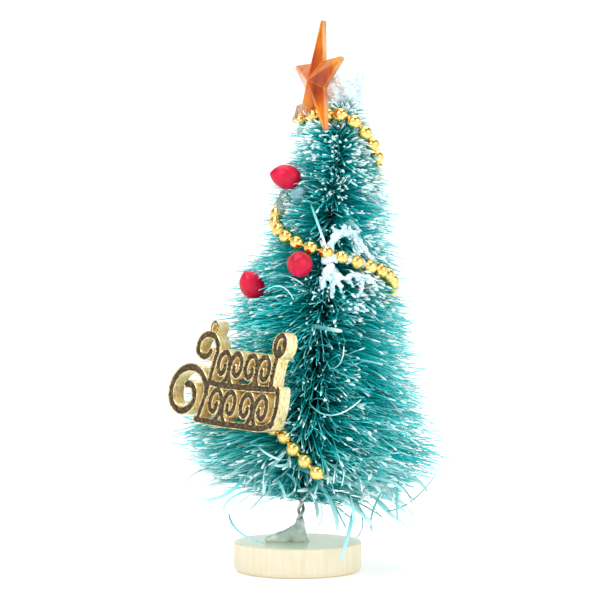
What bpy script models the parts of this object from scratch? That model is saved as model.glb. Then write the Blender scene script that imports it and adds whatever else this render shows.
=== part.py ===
"""Artificial tabletop tree.

A bottle-brush cone of bristles on a twisted wire trunk, standing in a turned wooden base and
dressed with a star, a bead garland, three berries, a scroll plaque, glue and snow flock.

Metres, +Z up. The origin is the centre of the base's underside and the front faces -Y. The trunk
leans towards +X, so what it carries is placed in the trunk's own frame: heights run along the
trunk from the top of the base, and a bearing turns round it from the front (0) towards +X (90).
Places on the bristle cone are given as shares of the cone's height, so they follow its size.
"""

import random
from math import acos, atan2, cos, pi, radians, sin, sqrt

import bmesh
import bpy
from mathutils import Matrix, Vector

GAP = 0.0003  # kept between pieces that touch

BASE_RADIUS = 0.0175
BASE_HEIGHT = 0.008
BASE_FOOT_ROUND = 0.0016
BASE_TOP_ROUND = 0.0005

BRUSH_BOTTOM = 0.0095
BRUSH_TOP = 0.1205
BRUSH_UNDER_RADIUS = 0.004  # of the small flat round the wire, under the cone
SKIRT_HEIGHT = 0.0185
SKIRT_RADIUS = 0.030
SKIRT_ROUND = 0.002
SHOULDER_RADIUS = 0.0092
DOME_HEIGHT = 0.0115
DOME_RIM = 0.0006  # rise from the dome's last ring to its bore
SHOULDER_HEIGHT = BRUSH_TOP - DOME_HEIGHT

TRUNK_LEAN = radians(5.9)
TRUNK_PROUD = 0.0057  # of its top over the cone's
TRUNK_TOP = BRUSH_TOP + TRUNK_PROUD
TRUNK_SOCKET_DEPTH = 0.006
STRAND_RADIUS = 0.0005
TWIST_PITCH = 0.0065

CAP_HEIGHT = 0.0098
CAP_RADIUS = 0.0056
CAP_RISE = 0.0037  # of its middle above the cone

STAR_RADIUS = 0.0167
STAR_NOTCH_RADIUS = 0.0065
STAR_THICKNESS = 0.006
STAR_RIM = 0.0012
STAR_TIP_WIDTH = 0.0009
STAR_BEARING = radians(-68)
STAR_DISTANCE = 0.0082  # from the trunk's axis to the star's middle plane
STAR_ABOVE_BRUSH = 0.0048

BEAD_RADIUS = 0.00195
BEAD_PITCH = 0.00435
THREAD_RADIUS = 0.00035
GARLAND_SINK = 0.001  # how far a bead lies in the bristles

BERRY_RADIUS = 0.0033
BERRY_LENGTH = 0.0082
BERRY_NOSE = 0.0007
BERRY_SINK = 0.001
STEM_RADIUS = 0.0004
STEM_HOLE_DEPTH = 0.0025
STEM_STRAIGHT = 0.0014  # straight out of the berry
STEM_BENT = 0.0056  # from its bend in towards the trunk

PLAQUE_BEARING = radians(-41)
PLAQUE_SHARE = 0.302
PLAQUE_STANDOFF = 0.0012  # of its back from the bristle cone
PLAQUE_OFFSET = -0.0066  # sideways along its own face
PLAQUE_DEPTH = 0.004
PLAQUE_GLUE = 0.0016  # between its back and the bristles
PLAQUE_HALF_WIDTH = 0.0205  # of the space kept for it
PLAQUE_HALF_HEIGHT = 0.0145
PLAQUE_SEAT_MARGIN = 0.001
PLAQUE_SLANT = 0.12
STROKE_WIDTH = 0.0014
RING_RADIUS = 0.0012  # to the middle of its wire
RING_PLACE = (-0.0064, 0.0129)

# The plaque's curls: the middle, half width and half height, bearing of the start and sweep in
# degrees, and the share of the size left at the inner end. All in the plaque's own plane.
ROW_CURL = ((0.0028, 0.0049), -70, 430, 0.28)
LOWER_ROW = ((-0.0014, -0.0069), 0.0056, 4)  # the first curl's middle, the pitch and the count
UPPER_ROW = ((-0.0009, 0.0033), 0.0049, 4)
VOLUTE = ((-0.0125, -0.0054), (0.0076, 0.0082), 5, 450, 0.30)
CROOK = ((-0.0080, 0.0074), (0.0045, 0.0045), -30, 370, 0.42)
DROP = ((0.0176, 0.0104), (0.0016, 0.0026), -100, 360, 1.0)

# The plaque's bars, as points (across, up) that a smooth line passes through.
PLAQUE_BARS = (
    ((-0.0040, 0.0056), (-0.0045, 0.0010), (-0.0052, -0.0050), (-0.0066, -0.0120)),
    ((-0.0072, -0.0118), (0.0, -0.0120), (0.0090, -0.0118), (0.0165, -0.0115), (0.0200, -0.0098)),
    ((0.0196, -0.0106), (0.0204, -0.0060), (0.0198, -0.0010)),
    ((-0.0046, -0.0016), (0.0, -0.0019), (0.0090, -0.0016), (0.0184, -0.0010)),
    ((0.0172, -0.0012), (0.0170, 0.0040), (0.0176, 0.0098)),
)

# Lumps of glue and flock on the cone: bearing in degrees, share of the cone's height, how far the
# middle stands off the bristles, and half sizes.
GARLAND_GLUE = (-74, 0.737, 0.0012, (0.0026, 0.0026, 0.0034))
BERRY_GLUE = (-47, 0.762, 0.0008, (0.0024, 0.0018, 0.0017))
FLOCK_UPPER = (17, 0.660, 0.0008, (0.0052, 0.0026, 0.0040))
FLOCK_LOWER = (3, 0.560, 0.0006, (0.0036, 0.0024, 0.0044))

BASE_GLUE_SIZE = (0.0088, 0.0062, 0.0046)
BASE_GLUE_PLACE = (-0.0022, -0.0012, 0.0)
STAR_GLUE_SIZE = (0.0026, 0.0024, 0.0024)
# Across the star, in front of its middle plane, and above the bead between its legs.
STAR_GLUE_PLACE = (-0.0042, 0.0018, 0.0014)
PLAQUE_GLUE_SIZE = (0.0052, 0.0040)  # half width and half height
PLAQUE_GLUE_DROP = 0.0018  # of its middle below the plaque's
CAGE_GROWTH = 1.12  # of a lump's cage over its half sizes, which the soft surface draws in
LUMP_UNEVENNESS = 0.16

# The first beads pass between the star's legs: across the star, side of its middle plane (1 in
# front, -1 behind), further out to the front, and above the bead that sits between the legs.
GARLAND_START = (
    (-0.0034, 1, 0.00045, -0.0016),
    (0.0, 0, -0.0003, 0.0),
    (0.0034, -1, -0.00115, 0.0004),
)

# Bearing in degrees, share of the cone's height, and how far the bead lies deeper than GARLAND_SINK.
GARLAND_ROUTE = (
    (2, 0.962, 0.0),
    (30, 0.943, 0.0),
    (60, 0.906, 0.0),
    (90, 0.857, 0.0),
    (125, 0.820, 0.0),
    (160, 0.797, 0.0),
    (200, 0.775, 0.0),
    (240, 0.752, 0.0),
    (265, 0.725, 0.0),
    (290, 0.683, 0.0),
    (315, 0.655, 0.0),
    (335, 0.638, 0.0),
    (355, 0.627, 0.0),
    (375, 0.616, 0.0),
    (398, 0.604, 0.0),
    (422, 0.592, 0.0),
    (450, 0.565, 0.0),
    (485, 0.520, 0.0),
    (520, 0.473, 0.0),
    (560, 0.417, 0.0),
    (600, 0.355, 0.0),
    (630, 0.298, 0.0),
    (655, 0.255, 0.0),
    (680, 0.217, 0.0),
    (703, 0.182, 0.0),
    (710, 0.163, 0.0024),
    (717, 0.139, 0.0022),
    (724, 0.115, 0.0018),
    (731, 0.094, 0.0010),
    (735, 0.082, 0.0008),
)

# Bearing in degrees, share of the cone's height, and the way the nose points in the trunk's frame
# (across, towards the back, up).
BERRIES = {
    "upper": (-64, 0.801, (-0.97, -0.22, 0.08)),
    "middle": (-21, 0.590, (-0.30, -0.95, 0.10)),
    "lower": (-66, 0.529, (-0.50, -0.42, 0.76)),
}


def collection(name):
    made = bpy.data.collections.new(name)
    bpy.context.scene.collection.children.link(made)
    return made


def material(name, colour, roughness, metallic=0.0, clear=0.0):
    """A plain finish; clear is the share of light that passes through."""
    made = bpy.data.materials.new(name)
    made.use_nodes = True
    shader = made.node_tree.nodes["Principled BSDF"]
    shader.inputs["Base Color"].default_value = (*colour, 1.0)
    shader.inputs["Roughness"].default_value = roughness
    shader.inputs["Metallic"].default_value = metallic
    shader.inputs["Transmission Weight"].default_value = clear
    return made


def keep(obj, finish=None, parent=None):
    """Puts a new object with the parts if it has a finish, or else with the cutters."""
    (PARTS if finish else CUTTERS).objects.link(obj)
    obj.parent = parent
    if finish:
        obj.data.materials.append(finish)
    else:
        obj.hide_render = True
        obj.display_type = "WIRE"
    if obj.type == "MESH":
        obj.data.shade_smooth()
        obj.data.set_sharp_from_angle(angle=radians(40))
    return obj


def mesh_object(name, shape):
    """An object from a bmesh, which it frees."""
    mesh = bpy.data.meshes.new(name)
    shape.to_mesh(mesh)
    shape.free()
    return bpy.data.objects.new(name, mesh)


def turned(name, profile, finish=None, parent=None, closed=False, steps=32):
    """A profile of (radius, height) points turned about Z. They run down the outer side."""
    mesh = bpy.data.meshes.new(name)
    points = [(radius, 0.0, height) for radius, height in profile]
    edges = [(i, i + 1) for i in range(len(points) - 1)]
    if closed:
        edges.append((len(points) - 1, 0))
    mesh.from_pydata(points, edges, [])
    obj = keep(bpy.data.objects.new(name, mesh), finish, parent)
    screw = obj.modifiers.new("Turn", "SCREW")
    screw.steps = steps
    screw.render_steps = steps
    screw.use_merge_vertices = True
    screw.merge_threshold = 0.00001
    screw.use_smooth_shade = True
    return obj


def line_object(name, points, radius, radii=None, sides=2):
    """A round wire through the points, with capped ends. radii are shares of radius."""
    curve = bpy.data.curves.new(name, "CURVE")
    curve.dimensions = "3D"
    curve.bevel_depth = radius
    curve.bevel_resolution = sides
    curve.use_fill_caps = True
    spline = curve.splines.new("POLY")
    spline.points.add(len(points) - 1)
    for i, point in enumerate(points):
        spline.points[i].co = (*point, 1.0)
        spline.points[i].radius = radii[i] if radii else 1.0
    return bpy.data.objects.new(name, curve)


def as_mesh(obj):
    """The same object with its curve made a closed mesh, which Booleans can take."""
    name = obj.name
    scene = bpy.context.scene.collection
    scene.objects.link(obj)
    bpy.context.view_layer.update()
    graph = bpy.context.evaluated_depsgraph_get()
    mesh = bpy.data.meshes.new_from_object(obj.evaluated_get(graph))
    shape = bmesh.new()
    shape.from_mesh(mesh)
    bmesh.ops.remove_doubles(shape, verts=shape.verts, dist=0.000001)
    bmesh.ops.recalc_face_normals(shape, faces=shape.faces)
    shape.to_mesh(mesh)
    shape.free()
    made = bpy.data.objects.new(name, mesh)
    made.matrix_world = obj.matrix_world
    curve = obj.data
    bpy.data.objects.remove(obj)
    bpy.data.curves.remove(curve)
    made.name = name
    mesh.name = name
    return made


def cut(obj, *tools):
    for tool in tools:
        boolean = obj.modifiers.new("Cut by " + tool.name, "BOOLEAN")
        boolean.operation = "DIFFERENCE"
        boolean.solver = "EXACT"
        boolean.object = tool


def join(obj, *others):
    """A union that also holds where faces lie in one plane, which EXACT leaves doubled."""
    for other in others:
        boolean = obj.modifiers.new("Join " + other.name, "BOOLEAN")
        boolean.operation = "UNION"
        boolean.solver = "MANIFOLD"
        boolean.object = other


def lump(name, half_sizes, place, seed, finish, parent, turn=0.0):
    """A soft uneven blob: a rounded cage with a subdivided surface."""
    shape = bmesh.new()
    bmesh.ops.create_cube(shape, size=2.0)
    bmesh.ops.subdivide_edges(shape, edges=shape.edges, cuts=1, use_grid_fill=True)
    chance = random.Random(seed)
    for vertex in shape.verts:
        uneven = CAGE_GROWTH + chance.uniform(-LUMP_UNEVENNESS, LUMP_UNEVENNESS)
        vertex.co = vertex.co.normalized() * uneven
        vertex.co = Vector(a * b for a, b in zip(vertex.co, half_sizes))
    obj = keep(mesh_object(name, shape), finish, parent)
    obj.location = place
    obj.rotation_euler = (0.0, 0.0, turn)
    surface = obj.modifiers.new("Soften", "SUBSURF")
    surface.levels = 1
    surface.render_levels = 1
    return obj


def lump_on_cone(name, spec, seed, finish):
    """A lump that lies on the bristles, from one of the tables above."""
    bearing, share, stand_off, half_sizes = spec
    height = height_at(share)
    place = round_trunk(radians(bearing), height, brush_radius(height) + stand_off)
    return lump(name, half_sizes, place, seed, finish, TRUNK)


def block(name, low, high, parent, turn=0.0):
    """A box cutter between two corners, turned about its parent's axis."""
    shape = bmesh.new()
    low, high = Vector(low), Vector(high)
    bmesh.ops.create_cube(shape, size=1.0)
    bmesh.ops.scale(shape, vec=high - low, verts=shape.verts)
    bmesh.ops.translate(shape, vec=(low + high) / 2, verts=shape.verts)
    obj = keep(mesh_object(name, shape), None, parent)
    obj.rotation_euler = (0.0, 0.0, turn)
    return obj


def arc(centre, radius, start, end, steps):
    """Points of a quarter or so of a circle, from one angle to another."""
    turns = [start + (end - start) * i / steps for i in range(steps + 1)]
    return [(centre[0] + radius * cos(t), centre[1] + radius * sin(t)) for t in turns]


def smooth_line(points, per_span=8):
    """Points of a smooth curve that passes through all the given ones."""
    ends = [2 * points[0] - points[1], *points, 2 * points[-1] - points[-2]]
    line = []
    for a, b, c, d in zip(ends, ends[1:], ends[2:], ends[3:]):
        for i in range(per_span):
            t = i / per_span
            line.append(
                b
                + (c - a) * (t / 2)
                + (2 * a - 5 * b + 4 * c - d) * (t**2 / 2)
                + (3 * b - a - 3 * c + d) * (t**3 / 2)
            )
    line.append(points[-1])
    return line


def along(line, distances):
    """The points that lie these distances along a line."""
    found = []
    walked = 0.0
    start = 0
    for distance in distances:
        step = (line[start + 1] - line[start]).length
        while walked + step < distance and start < len(line) - 2:
            walked += step
            start += 1
            step = (line[start + 1] - line[start]).length
        found.append(line[start].lerp(line[start + 1], (distance - walked) / step))
    return found


def round_eight(radius):
    """The corner radius of an eight-sided wire whose sides lie at this radius."""
    return radius / cos(pi / 8)


def length_of(line):
    return sum((b - a).length for a, b in zip(line, line[1:]))


def height_at(share):
    """The height along the trunk at this share of the bristle cone."""
    return BRUSH_BOTTOM + share * (BRUSH_TOP - BRUSH_BOTTOM)


def brush_radius(height):
    """The bristle cone's radius at a height above its skirt."""
    if height <= SHOULDER_HEIGHT:
        share = (height - SKIRT_HEIGHT) / (SHOULDER_HEIGHT - SKIRT_HEIGHT)
        return SKIRT_RADIUS + (SHOULDER_RADIUS - SKIRT_RADIUS) * share
    rise = (height - SHOULDER_HEIGHT) / (BRUSH_TOP - SHOULDER_HEIGHT)
    return SHOULDER_RADIUS * sqrt(max(0.0, 1 - rise**2))


def round_trunk(bearing, height, distance):
    """The point at a bearing and a distance from the trunk's axis."""
    return Vector((distance * sin(bearing), -distance * cos(bearing), height))


def on_face(bearing, distance, across, height):
    """A point on an upright plane that faces a bearing, at a distance from the trunk."""
    outwards = round_trunk(bearing, 0.0, 1.0)
    sideways = Vector((cos(bearing), sin(bearing), 0.0))
    return outwards * distance + sideways * across + Vector((0.0, 0.0, height))


def twist_radius():
    """From the trunk's axis to the middle of a strand."""
    return STRAND_RADIUS + GAP / 2


def trunk_bore():
    """Radius of a hole that the twisted pair passes through."""
    return twist_radius() + STRAND_RADIUS + GAP


def plaque_height():
    return height_at(PLAQUE_SHARE)


def plaque_back():
    """Distance from the trunk's axis to the plaque's back."""
    return brush_radius(plaque_height()) + PLAQUE_STANDOFF


def star_height():
    return BRUSH_TOP + STAR_ABOVE_BRUSH


def bead_between_legs():
    """The height at which a bead just fits between the star's two lower legs."""
    half_tip = STAR_TIP_WIDTH / 2
    leg_across = STAR_RADIUS * sin(pi / 5) - half_tip * cos(pi / 5)
    leg_down = STAR_RADIUS * cos(pi / 5) + half_tip * sin(pi / 5)
    slope = atan2(leg_down - STAR_NOTCH_RADIUS, leg_across)
    return star_height() - STAR_NOTCH_RADIUS - (BEAD_RADIUS + GAP) / cos(slope)


def make_base(clearance):
    finish = material("base_wood", (0.93, 0.83, 0.62), 0.55)
    top_corner = (BASE_RADIUS - BASE_TOP_ROUND, BASE_HEIGHT - BASE_TOP_ROUND)
    foot_corner = (BASE_RADIUS - BASE_FOOT_ROUND, BASE_FOOT_ROUND)
    profile = [(0.0, BASE_HEIGHT)]
    profile += arc(top_corner, BASE_TOP_ROUND, pi / 2, 0.0, 2)
    profile += arc(foot_corner, BASE_FOOT_ROUND, 0.0, -pi / 2, 4)
    profile.append((0.0, 0.0))
    cut(turned("wood_base", profile, finish, steps=48), clearance)


def make_trunk_clearance():
    """A rod as wide as the twisted pair and its gap, which the pieces round it are cut with."""
    radius = trunk_bore()
    low = -TRUNK_SOCKET_DEPTH - GAP
    high = TRUNK_TOP + GAP
    profile = [(0.0, high), (radius, high), (radius, low), (0.0, low)]
    return turned("trunk_clearance", profile, parent=TRUNK, steps=24)


def make_strands():
    finish = material("trunk_wire", (0.56, 0.55, 0.53), 0.38, metallic=1.0)
    points_per_turn = 8
    run = TRUNK_TOP + TRUNK_SOCKET_DEPTH
    count = int(run / TWIST_PITCH * points_per_turn)
    for name, start in (("trunk_strand_a", 0.0), ("trunk_strand_b", pi)):
        points = []
        for i in range(count + 1):
            turn = start + 2 * pi * i / points_per_turn
            height = run * i / count - TRUNK_SOCKET_DEPTH
            points.append(round_trunk(turn, height, twist_radius()))
        keep(line_object(name, points, STRAND_RADIUS, sides=1), finish, TRUNK)


def brush_profile(bore, grow):
    """The closed outline of the bristle cone, grown outwards, from the top of its bore."""
    centre = (SKIRT_RADIUS - SKIRT_ROUND, SKIRT_HEIGHT + SKIRT_ROUND)
    dome = []
    for across, up in arc((0.0, 0.0), 1.0, radians(70), 0.0, 4):
        height = SHOULDER_HEIGHT + (BRUSH_TOP - SHOULDER_HEIGHT) * up
        dome.append((SHOULDER_RADIUS * across + grow, height + grow))
    profile = [(bore, dome[0][1] + DOME_RIM), *dome]
    profile += arc(centre, SKIRT_ROUND + grow, radians(10), radians(-60), 3)
    profile.append((BRUSH_UNDER_RADIUS, BRUSH_BOTTOM - grow))
    profile.append((bore, BRUSH_BOTTOM - grow))
    return profile


def make_brush(tools):
    finish = material("bristles", (0.02, 0.36, 0.36), 0.7)
    profile = brush_profile(trunk_bore(), 0.0)
    cut(turned("bristle_brush", profile, finish, TRUNK, closed=True), *tools)


def make_brush_clearance():
    """The cone and its gap, without its bore, for what lies on the bristles."""
    profile = brush_profile(0.0, GAP)
    return turned("brush_clearance", profile, parent=TRUNK)


def star_outline(radius, notch, tip_width):
    """Five blunt points and the notches between them, upright, as (across, up)."""
    outline = []
    for i in range(5):
        turn = pi / 2 + 2 * pi * i / 5
        tip = Vector((cos(turn), sin(turn))) * radius
        side = Vector((-sin(turn), cos(turn))) * tip_width / 2
        outline += [tip - side, tip + side]
        outline.append(Vector((cos(turn + pi / 5), sin(turn + pi / 5))) * notch)
    return outline


def star_object(name, grow):
    """Half a star raised to a point in the middle, mirrored behind its rim."""
    shape = bmesh.new()
    outline = star_outline(STAR_RADIUS + grow, STAR_NOTCH_RADIUS + grow, STAR_TIP_WIDTH + 2 * grow)
    made = bmesh.ops.create_circle(shape, cap_ends=False, segments=len(outline), radius=1.0)
    for vertex, place in zip(made["verts"], outline):
        vertex.co = (place.x, 0.0, place.y)
    ring = bmesh.ops.extrude_edge_only(shape, edges=shape.edges[:])
    lifted = [item for item in ring["geom"] if isinstance(item, bmesh.types.BMVert)]
    bmesh.ops.translate(shape, vec=(0.0, -STAR_RIM / 2 - grow, 0.0), verts=lifted)
    edges = [item for item in ring["geom"] if isinstance(item, bmesh.types.BMEdge)]
    face = bmesh.ops.contextual_create(shape, geom=edges)["faces"]
    point = bmesh.ops.poke(shape, faces=face)["verts"][0]
    point.co = (0.0, -STAR_THICKNESS / 2 - grow, 0.0)
    bmesh.ops.recalc_face_normals(shape, faces=shape.faces)
    obj = mesh_object(name, shape)
    mirror = obj.modifiers.new("Other half", "MIRROR")
    mirror.use_axis = (False, True, False)
    mirror.use_clip = True
    mirror.merge_threshold = 0.00001
    return obj


def place_star(obj):
    obj.location = on_face(STAR_BEARING, STAR_DISTANCE, 0.0, star_height())
    obj.rotation_euler = (0.0, 0.0, STAR_BEARING)


def make_star():
    finish = material("star_amber", (0.90, 0.32, 0.02), 0.08, clear=0.75)
    star = keep(star_object("star_topper", 0.0), finish, TRUNK)
    place_star(star)
    star.data.shade_flat()


def make_star_clearance():
    clearance = keep(star_object("star_clearance", GAP), None, TRUNK)
    place_star(clearance)
    return clearance


def make_star_seat():
    """The flat in the bristles that the star's two legs lie against."""
    leg_depth = STAR_RIM / 2 + (STAR_THICKNESS - STAR_RIM) / 4
    start = STAR_DISTANCE - leg_depth - GAP
    low = (-STAR_RADIUS, -SKIRT_RADIUS, star_height() - STAR_RADIUS)
    high = (STAR_RADIUS, -start, BRUSH_TOP + 2 * GAP)
    return block("star_seat", low, high, TRUNK, turn=STAR_BEARING)


def pushed_behind_plaque(point):
    """The point moved in until a bead there clears the plaque's back."""
    outwards = on_face(PLAQUE_BEARING, 1.0, 0.0, 0.0)
    across = on_face(PLAQUE_BEARING, 0.0, 1.0, 0.0).dot(point) - PLAQUE_OFFSET
    limit = plaque_back() - BEAD_RADIUS - 2 * GAP
    over = outwards.dot(point) - limit
    beside = abs(across) > PLAQUE_HALF_WIDTH + BEAD_RADIUS
    below = point.z < plaque_height() - PLAQUE_HALF_HEIGHT - BEAD_RADIUS
    return point if over <= 0 or beside or below else point - outwards * over


def garland_line():
    """The thread's way: in between the star's legs, then down and round the cone."""
    points = []
    for across, side, forward, above in GARLAND_START:
        distance = STAR_DISTANCE + side * BEAD_RADIUS + forward
        points.append(on_face(STAR_BEARING, distance, across, bead_between_legs() + above))
    points[0] += (points[0] - points[1]).normalized() * BEAD_PITCH / 2
    for bearing, share, deeper in GARLAND_ROUTE:
        height = height_at(share)
        distance = brush_radius(height) + BEAD_RADIUS - GARLAND_SINK - deeper
        points.append(pushed_behind_plaque(round_trunk(radians(bearing), height, distance)))
    return smooth_line(points)


def make_garland(line):
    """Beads and thread as one wire that swells at each bead."""
    finish = material("bead_gold", (0.95, 0.70, 0.18), 0.16, metallic=1.0)
    count = int(length_of(line) / BEAD_PITCH)
    rings = [radians(turn) for turn in (28, 68, 112, 152)]
    distances = [0.0]
    radii = [THREAD_RADIUS]
    for i in range(count):
        middle = (i + 0.5) * BEAD_PITCH
        distances += [middle - BEAD_RADIUS * cos(turn) for turn in rings]
        radii += [BEAD_RADIUS * sin(turn) for turn in rings]
        distances.append((i + 1) * BEAD_PITCH)
        radii.append(THREAD_RADIUS)
    shares = [radius / BEAD_RADIUS for radius in radii]
    points = along(line, distances)
    keep(line_object("bead_garland", points, BEAD_RADIUS, shares), finish, TRUNK)


def make_garland_channel(line):
    """A tube that holds the beads and their gap, for what they press into."""
    count = int(length_of(line) / BEAD_PITCH)
    distances = [i * length_of(line) / count for i in range(count + 1)]
    points = along(line, distances)
    points[0] += (points[0] - points[1]).normalized() * BEAD_RADIUS
    points[-1] += (points[-1] - points[-2]).normalized() * BEAD_RADIUS
    channel = line_object("garland_channel", points, round_eight(BEAD_RADIUS + GAP))
    return keep(as_mesh(channel), None, TRUNK)


def berry_profile(grow):
    """A round body drawn out to a small nose, flat at the stem, from the nose down."""
    flat_from = radians(150)
    nose_until = radians(45)
    profile = []
    for across, up in arc((0.0, 0.0), 1.0, pi / 2, pi / 2 - flat_from, 9):
        nose = BERRY_NOSE * max(0.0, 1 - acos(min(1.0, up)) / nose_until) ** 2
        profile.append(((BERRY_RADIUS + grow) * across, (BERRY_LENGTH / 2 + grow) * up + nose))
    profile[0] = (0.0, profile[0][1])
    profile.append((0.0, profile[-1][1]))
    return profile


def berry_matrix(bearing, share, nose):
    """Stands a berry's +Z along its nose, with its body just in the bristles."""
    nose = Vector(nose).normalized()
    outwards = round_trunk(radians(bearing), 0.0, 1.0)
    lean = abs(nose.dot(outwards))
    reach = sqrt((BERRY_LENGTH / 2 * lean) ** 2 + (BERRY_RADIUS * sin(acos(lean))) ** 2)
    height = height_at(share)
    distance = brush_radius(height) + reach - BERRY_SINK
    place = round_trunk(radians(bearing), height, distance)
    return Matrix.Translation(place) @ nose.to_track_quat("Z", "X").to_matrix().to_4x4()


def stem_points(matrix):
    """From inside the berry, out of its flat end and in towards the trunk."""
    flat_end = berry_profile(0.0)[-1][1]
    inside = matrix @ Vector((0.0, 0.0, flat_end + STEM_HOLE_DEPTH))
    mouth = matrix @ Vector((0.0, 0.0, flat_end))
    beyond = matrix @ Vector((0.0, 0.0, flat_end - STEM_STRAIGHT))
    inwards = Vector((-beyond.x, -beyond.y, 0.0)).normalized()
    turned_in = beyond + inwards * STEM_BENT / 2
    end = beyond + inwards * STEM_BENT
    return smooth_line([inside, mouth, beyond, turned_in, end], per_span=3)


def make_berry(name, bearing, share, nose):
    """One berry with its stem. Returns the cutters that make room for them in the bristles."""
    matrix = berry_matrix(bearing, share, nose)
    points = stem_points(matrix)
    hole = line_object(f"stem_clearance_{name}", points, round_eight(STEM_RADIUS + GAP))
    hole = keep(as_mesh(hole), None, TRUNK)
    finish = material(f"berry_{name}_pearl", (0.84, 0.02, 0.12), 0.25)
    berry = turned(f"berry_{name}", berry_profile(0.0), finish, TRUNK, steps=20)
    berry.matrix_local = matrix
    cut(berry, hole)
    pocket = turned(f"berry_clearance_{name}", berry_profile(GAP), parent=TRUNK, steps=20)
    pocket.matrix_local = matrix
    wire = material(f"stem_{name}_wire", (0.10, 0.08, 0.07), 0.5, metallic=0.6)
    pinned = along(points, [GAP + (length_of(points) - GAP * 2) * i / 8 for i in range(9)])
    keep(line_object(f"berry_stem_{name}", pinned, STEM_RADIUS), wire, TRUNK)
    return [pocket, hole]


def curl(centre, reach, start, sweep, left, count=20):
    """A spiral stroke: reach is its half width and half height where it starts."""
    line = []
    for i in range(count):
        share = i / (count - 1)
        turn = radians(start + sweep * share)
        scale = 1 + (left - 1) * share
        line.append((centre[0] + reach[0] * scale * cos(turn), centre[1] + reach[1] * scale * sin(turn)))
    return line


def row_of_curls(row):
    """Curls side by side, every other one mirrored, so that each pair stands back to back."""
    (across, up), pitch, count = row
    reach, start, sweep, left = ROW_CURL
    curls = []
    for i in range(count):
        middle = (across + pitch * i, up)
        if i % 2:
            curls.append(curl(middle, reach, 180 - start, -sweep, left))
        else:
            curls.append(curl(middle, reach, start, sweep, left))
    return curls


def plaque_strokes():
    """Centre lines of the ornament, as (across, up) from the plaque's middle."""
    curls = row_of_curls(LOWER_ROW) + row_of_curls(UPPER_ROW)
    curls += [curl(*VOLUTE, count=30), curl(*CROOK, count=24), curl(*DROP, count=14)]
    return curls + [eased(line) for line in PLAQUE_BARS]


def eased(line):
    """A few points joined by a smooth line, as (across, up)."""
    return [tuple(point) for point in smooth_line([Vector(place) for place in line], per_span=4)]


def stroke_object(name, line, section):
    """A flat bar bent along a line in the plaque's face."""
    curve = bpy.data.curves.new(name, "CURVE")
    curve.dimensions = "2D"
    curve.fill_mode = "NONE"
    curve.bevel_mode = "OBJECT"
    curve.bevel_object = section
    curve.use_fill_caps = True
    spline = curve.splines.new("POLY")
    spline.use_cyclic_u = (Vector(line[0]) - Vector(line[-1])).length < 0.00001
    line = line[:-1] if spline.use_cyclic_u else line
    spline.points.add(len(line) - 1)
    for point, (across, up) in zip(spline.points, line):
        point.co = (across + up * PLAQUE_SLANT, up, 0.0, 1.0)
    return as_mesh(bpy.data.objects.new(name, curve))


def stroke_section(width, depth):
    """The bar's cross-section, as a curve that the strokes are swept with."""
    curve = bpy.data.curves.new("stroke_section", "CURVE")
    curve.dimensions = "2D"
    curve.fill_mode = "NONE"
    spline = curve.splines.new("POLY")
    spline.points.add(3)
    corners = ((-1, -1), (1, -1), (1, 1), (-1, 1))
    for point, (side, face) in zip(spline.points, corners):
        point.co = (side * width / 2, face * depth / 2, 0.0, 1.0)
    spline.use_cyclic_u = True
    return keep(bpy.data.objects.new("stroke_section", curve))


def stand_in_plaque(obj):
    """Stands a shape drawn flat in XY upright on the plaque's place, facing outwards."""
    middle = plaque_back() + PLAQUE_DEPTH / 2
    place = on_face(PLAQUE_BEARING, middle, PLAQUE_OFFSET, plaque_height())
    upright = Matrix.Rotation(PLAQUE_BEARING, 4, "Z") @ Matrix.Rotation(pi / 2, 4, "X")
    obj.parent = TRUNK
    obj.matrix_local = Matrix.Translation(place) @ upright


def make_plaque():
    """Scrolls in two rows, joined by rails, with a small hanging ring."""
    finish = material("plaque_gold", (0.72, 0.60, 0.36), 0.3, metallic=1.0)
    section = stroke_section(STROKE_WIDTH, PLAQUE_DEPTH)
    strokes = []
    for i, line in enumerate(plaque_strokes()):
        strokes.append(stroke_object(f"stroke_{i:02}", line, section))
    ring = curl(RING_PLACE, (RING_RADIUS, RING_RADIUS * 1.35), -90, 360, 1.0, 14)
    thin = stroke_section(STROKE_WIDTH * 0.5, PLAQUE_DEPTH * 0.5)
    strokes.append(stroke_object("stroke_ring", ring, thin))
    plaque = strokes[0]
    plaque.name = "scroll_plaque"
    keep(plaque, finish)
    stand_in_plaque(plaque)
    for stroke in strokes[1:]:
        keep(stroke)
        stand_in_plaque(stroke)
    join(plaque, *strokes[1:])


def make_plaque_seat():
    """The flat in the bristles behind the plaque and its glue."""
    width = PLAQUE_HALF_WIDTH + PLAQUE_SEAT_MARGIN
    height = PLAQUE_HALF_HEIGHT + PLAQUE_SEAT_MARGIN
    front = plaque_back() + PLAQUE_DEPTH
    low = (PLAQUE_OFFSET - width, -front, plaque_height() - height)
    high = (PLAQUE_OFFSET + width, PLAQUE_GLUE - plaque_back(), plaque_height() + height)
    return block("plaque_seat", low, high, TRUNK, turn=PLAQUE_BEARING)


def make_base_glue(finish, trunk_clearance):
    mound = lump("base_glue", BASE_GLUE_SIZE, BASE_GLUE_PLACE, 3, finish, TRUNK)
    low = (-BASE_RADIUS, -BASE_RADIUS, -BASE_HEIGHT)
    high = (BASE_RADIUS, BASE_RADIUS, BASE_HEIGHT + GAP)
    cut(mound, block("base_top_clearance", low, high, None), trunk_clearance)


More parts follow.
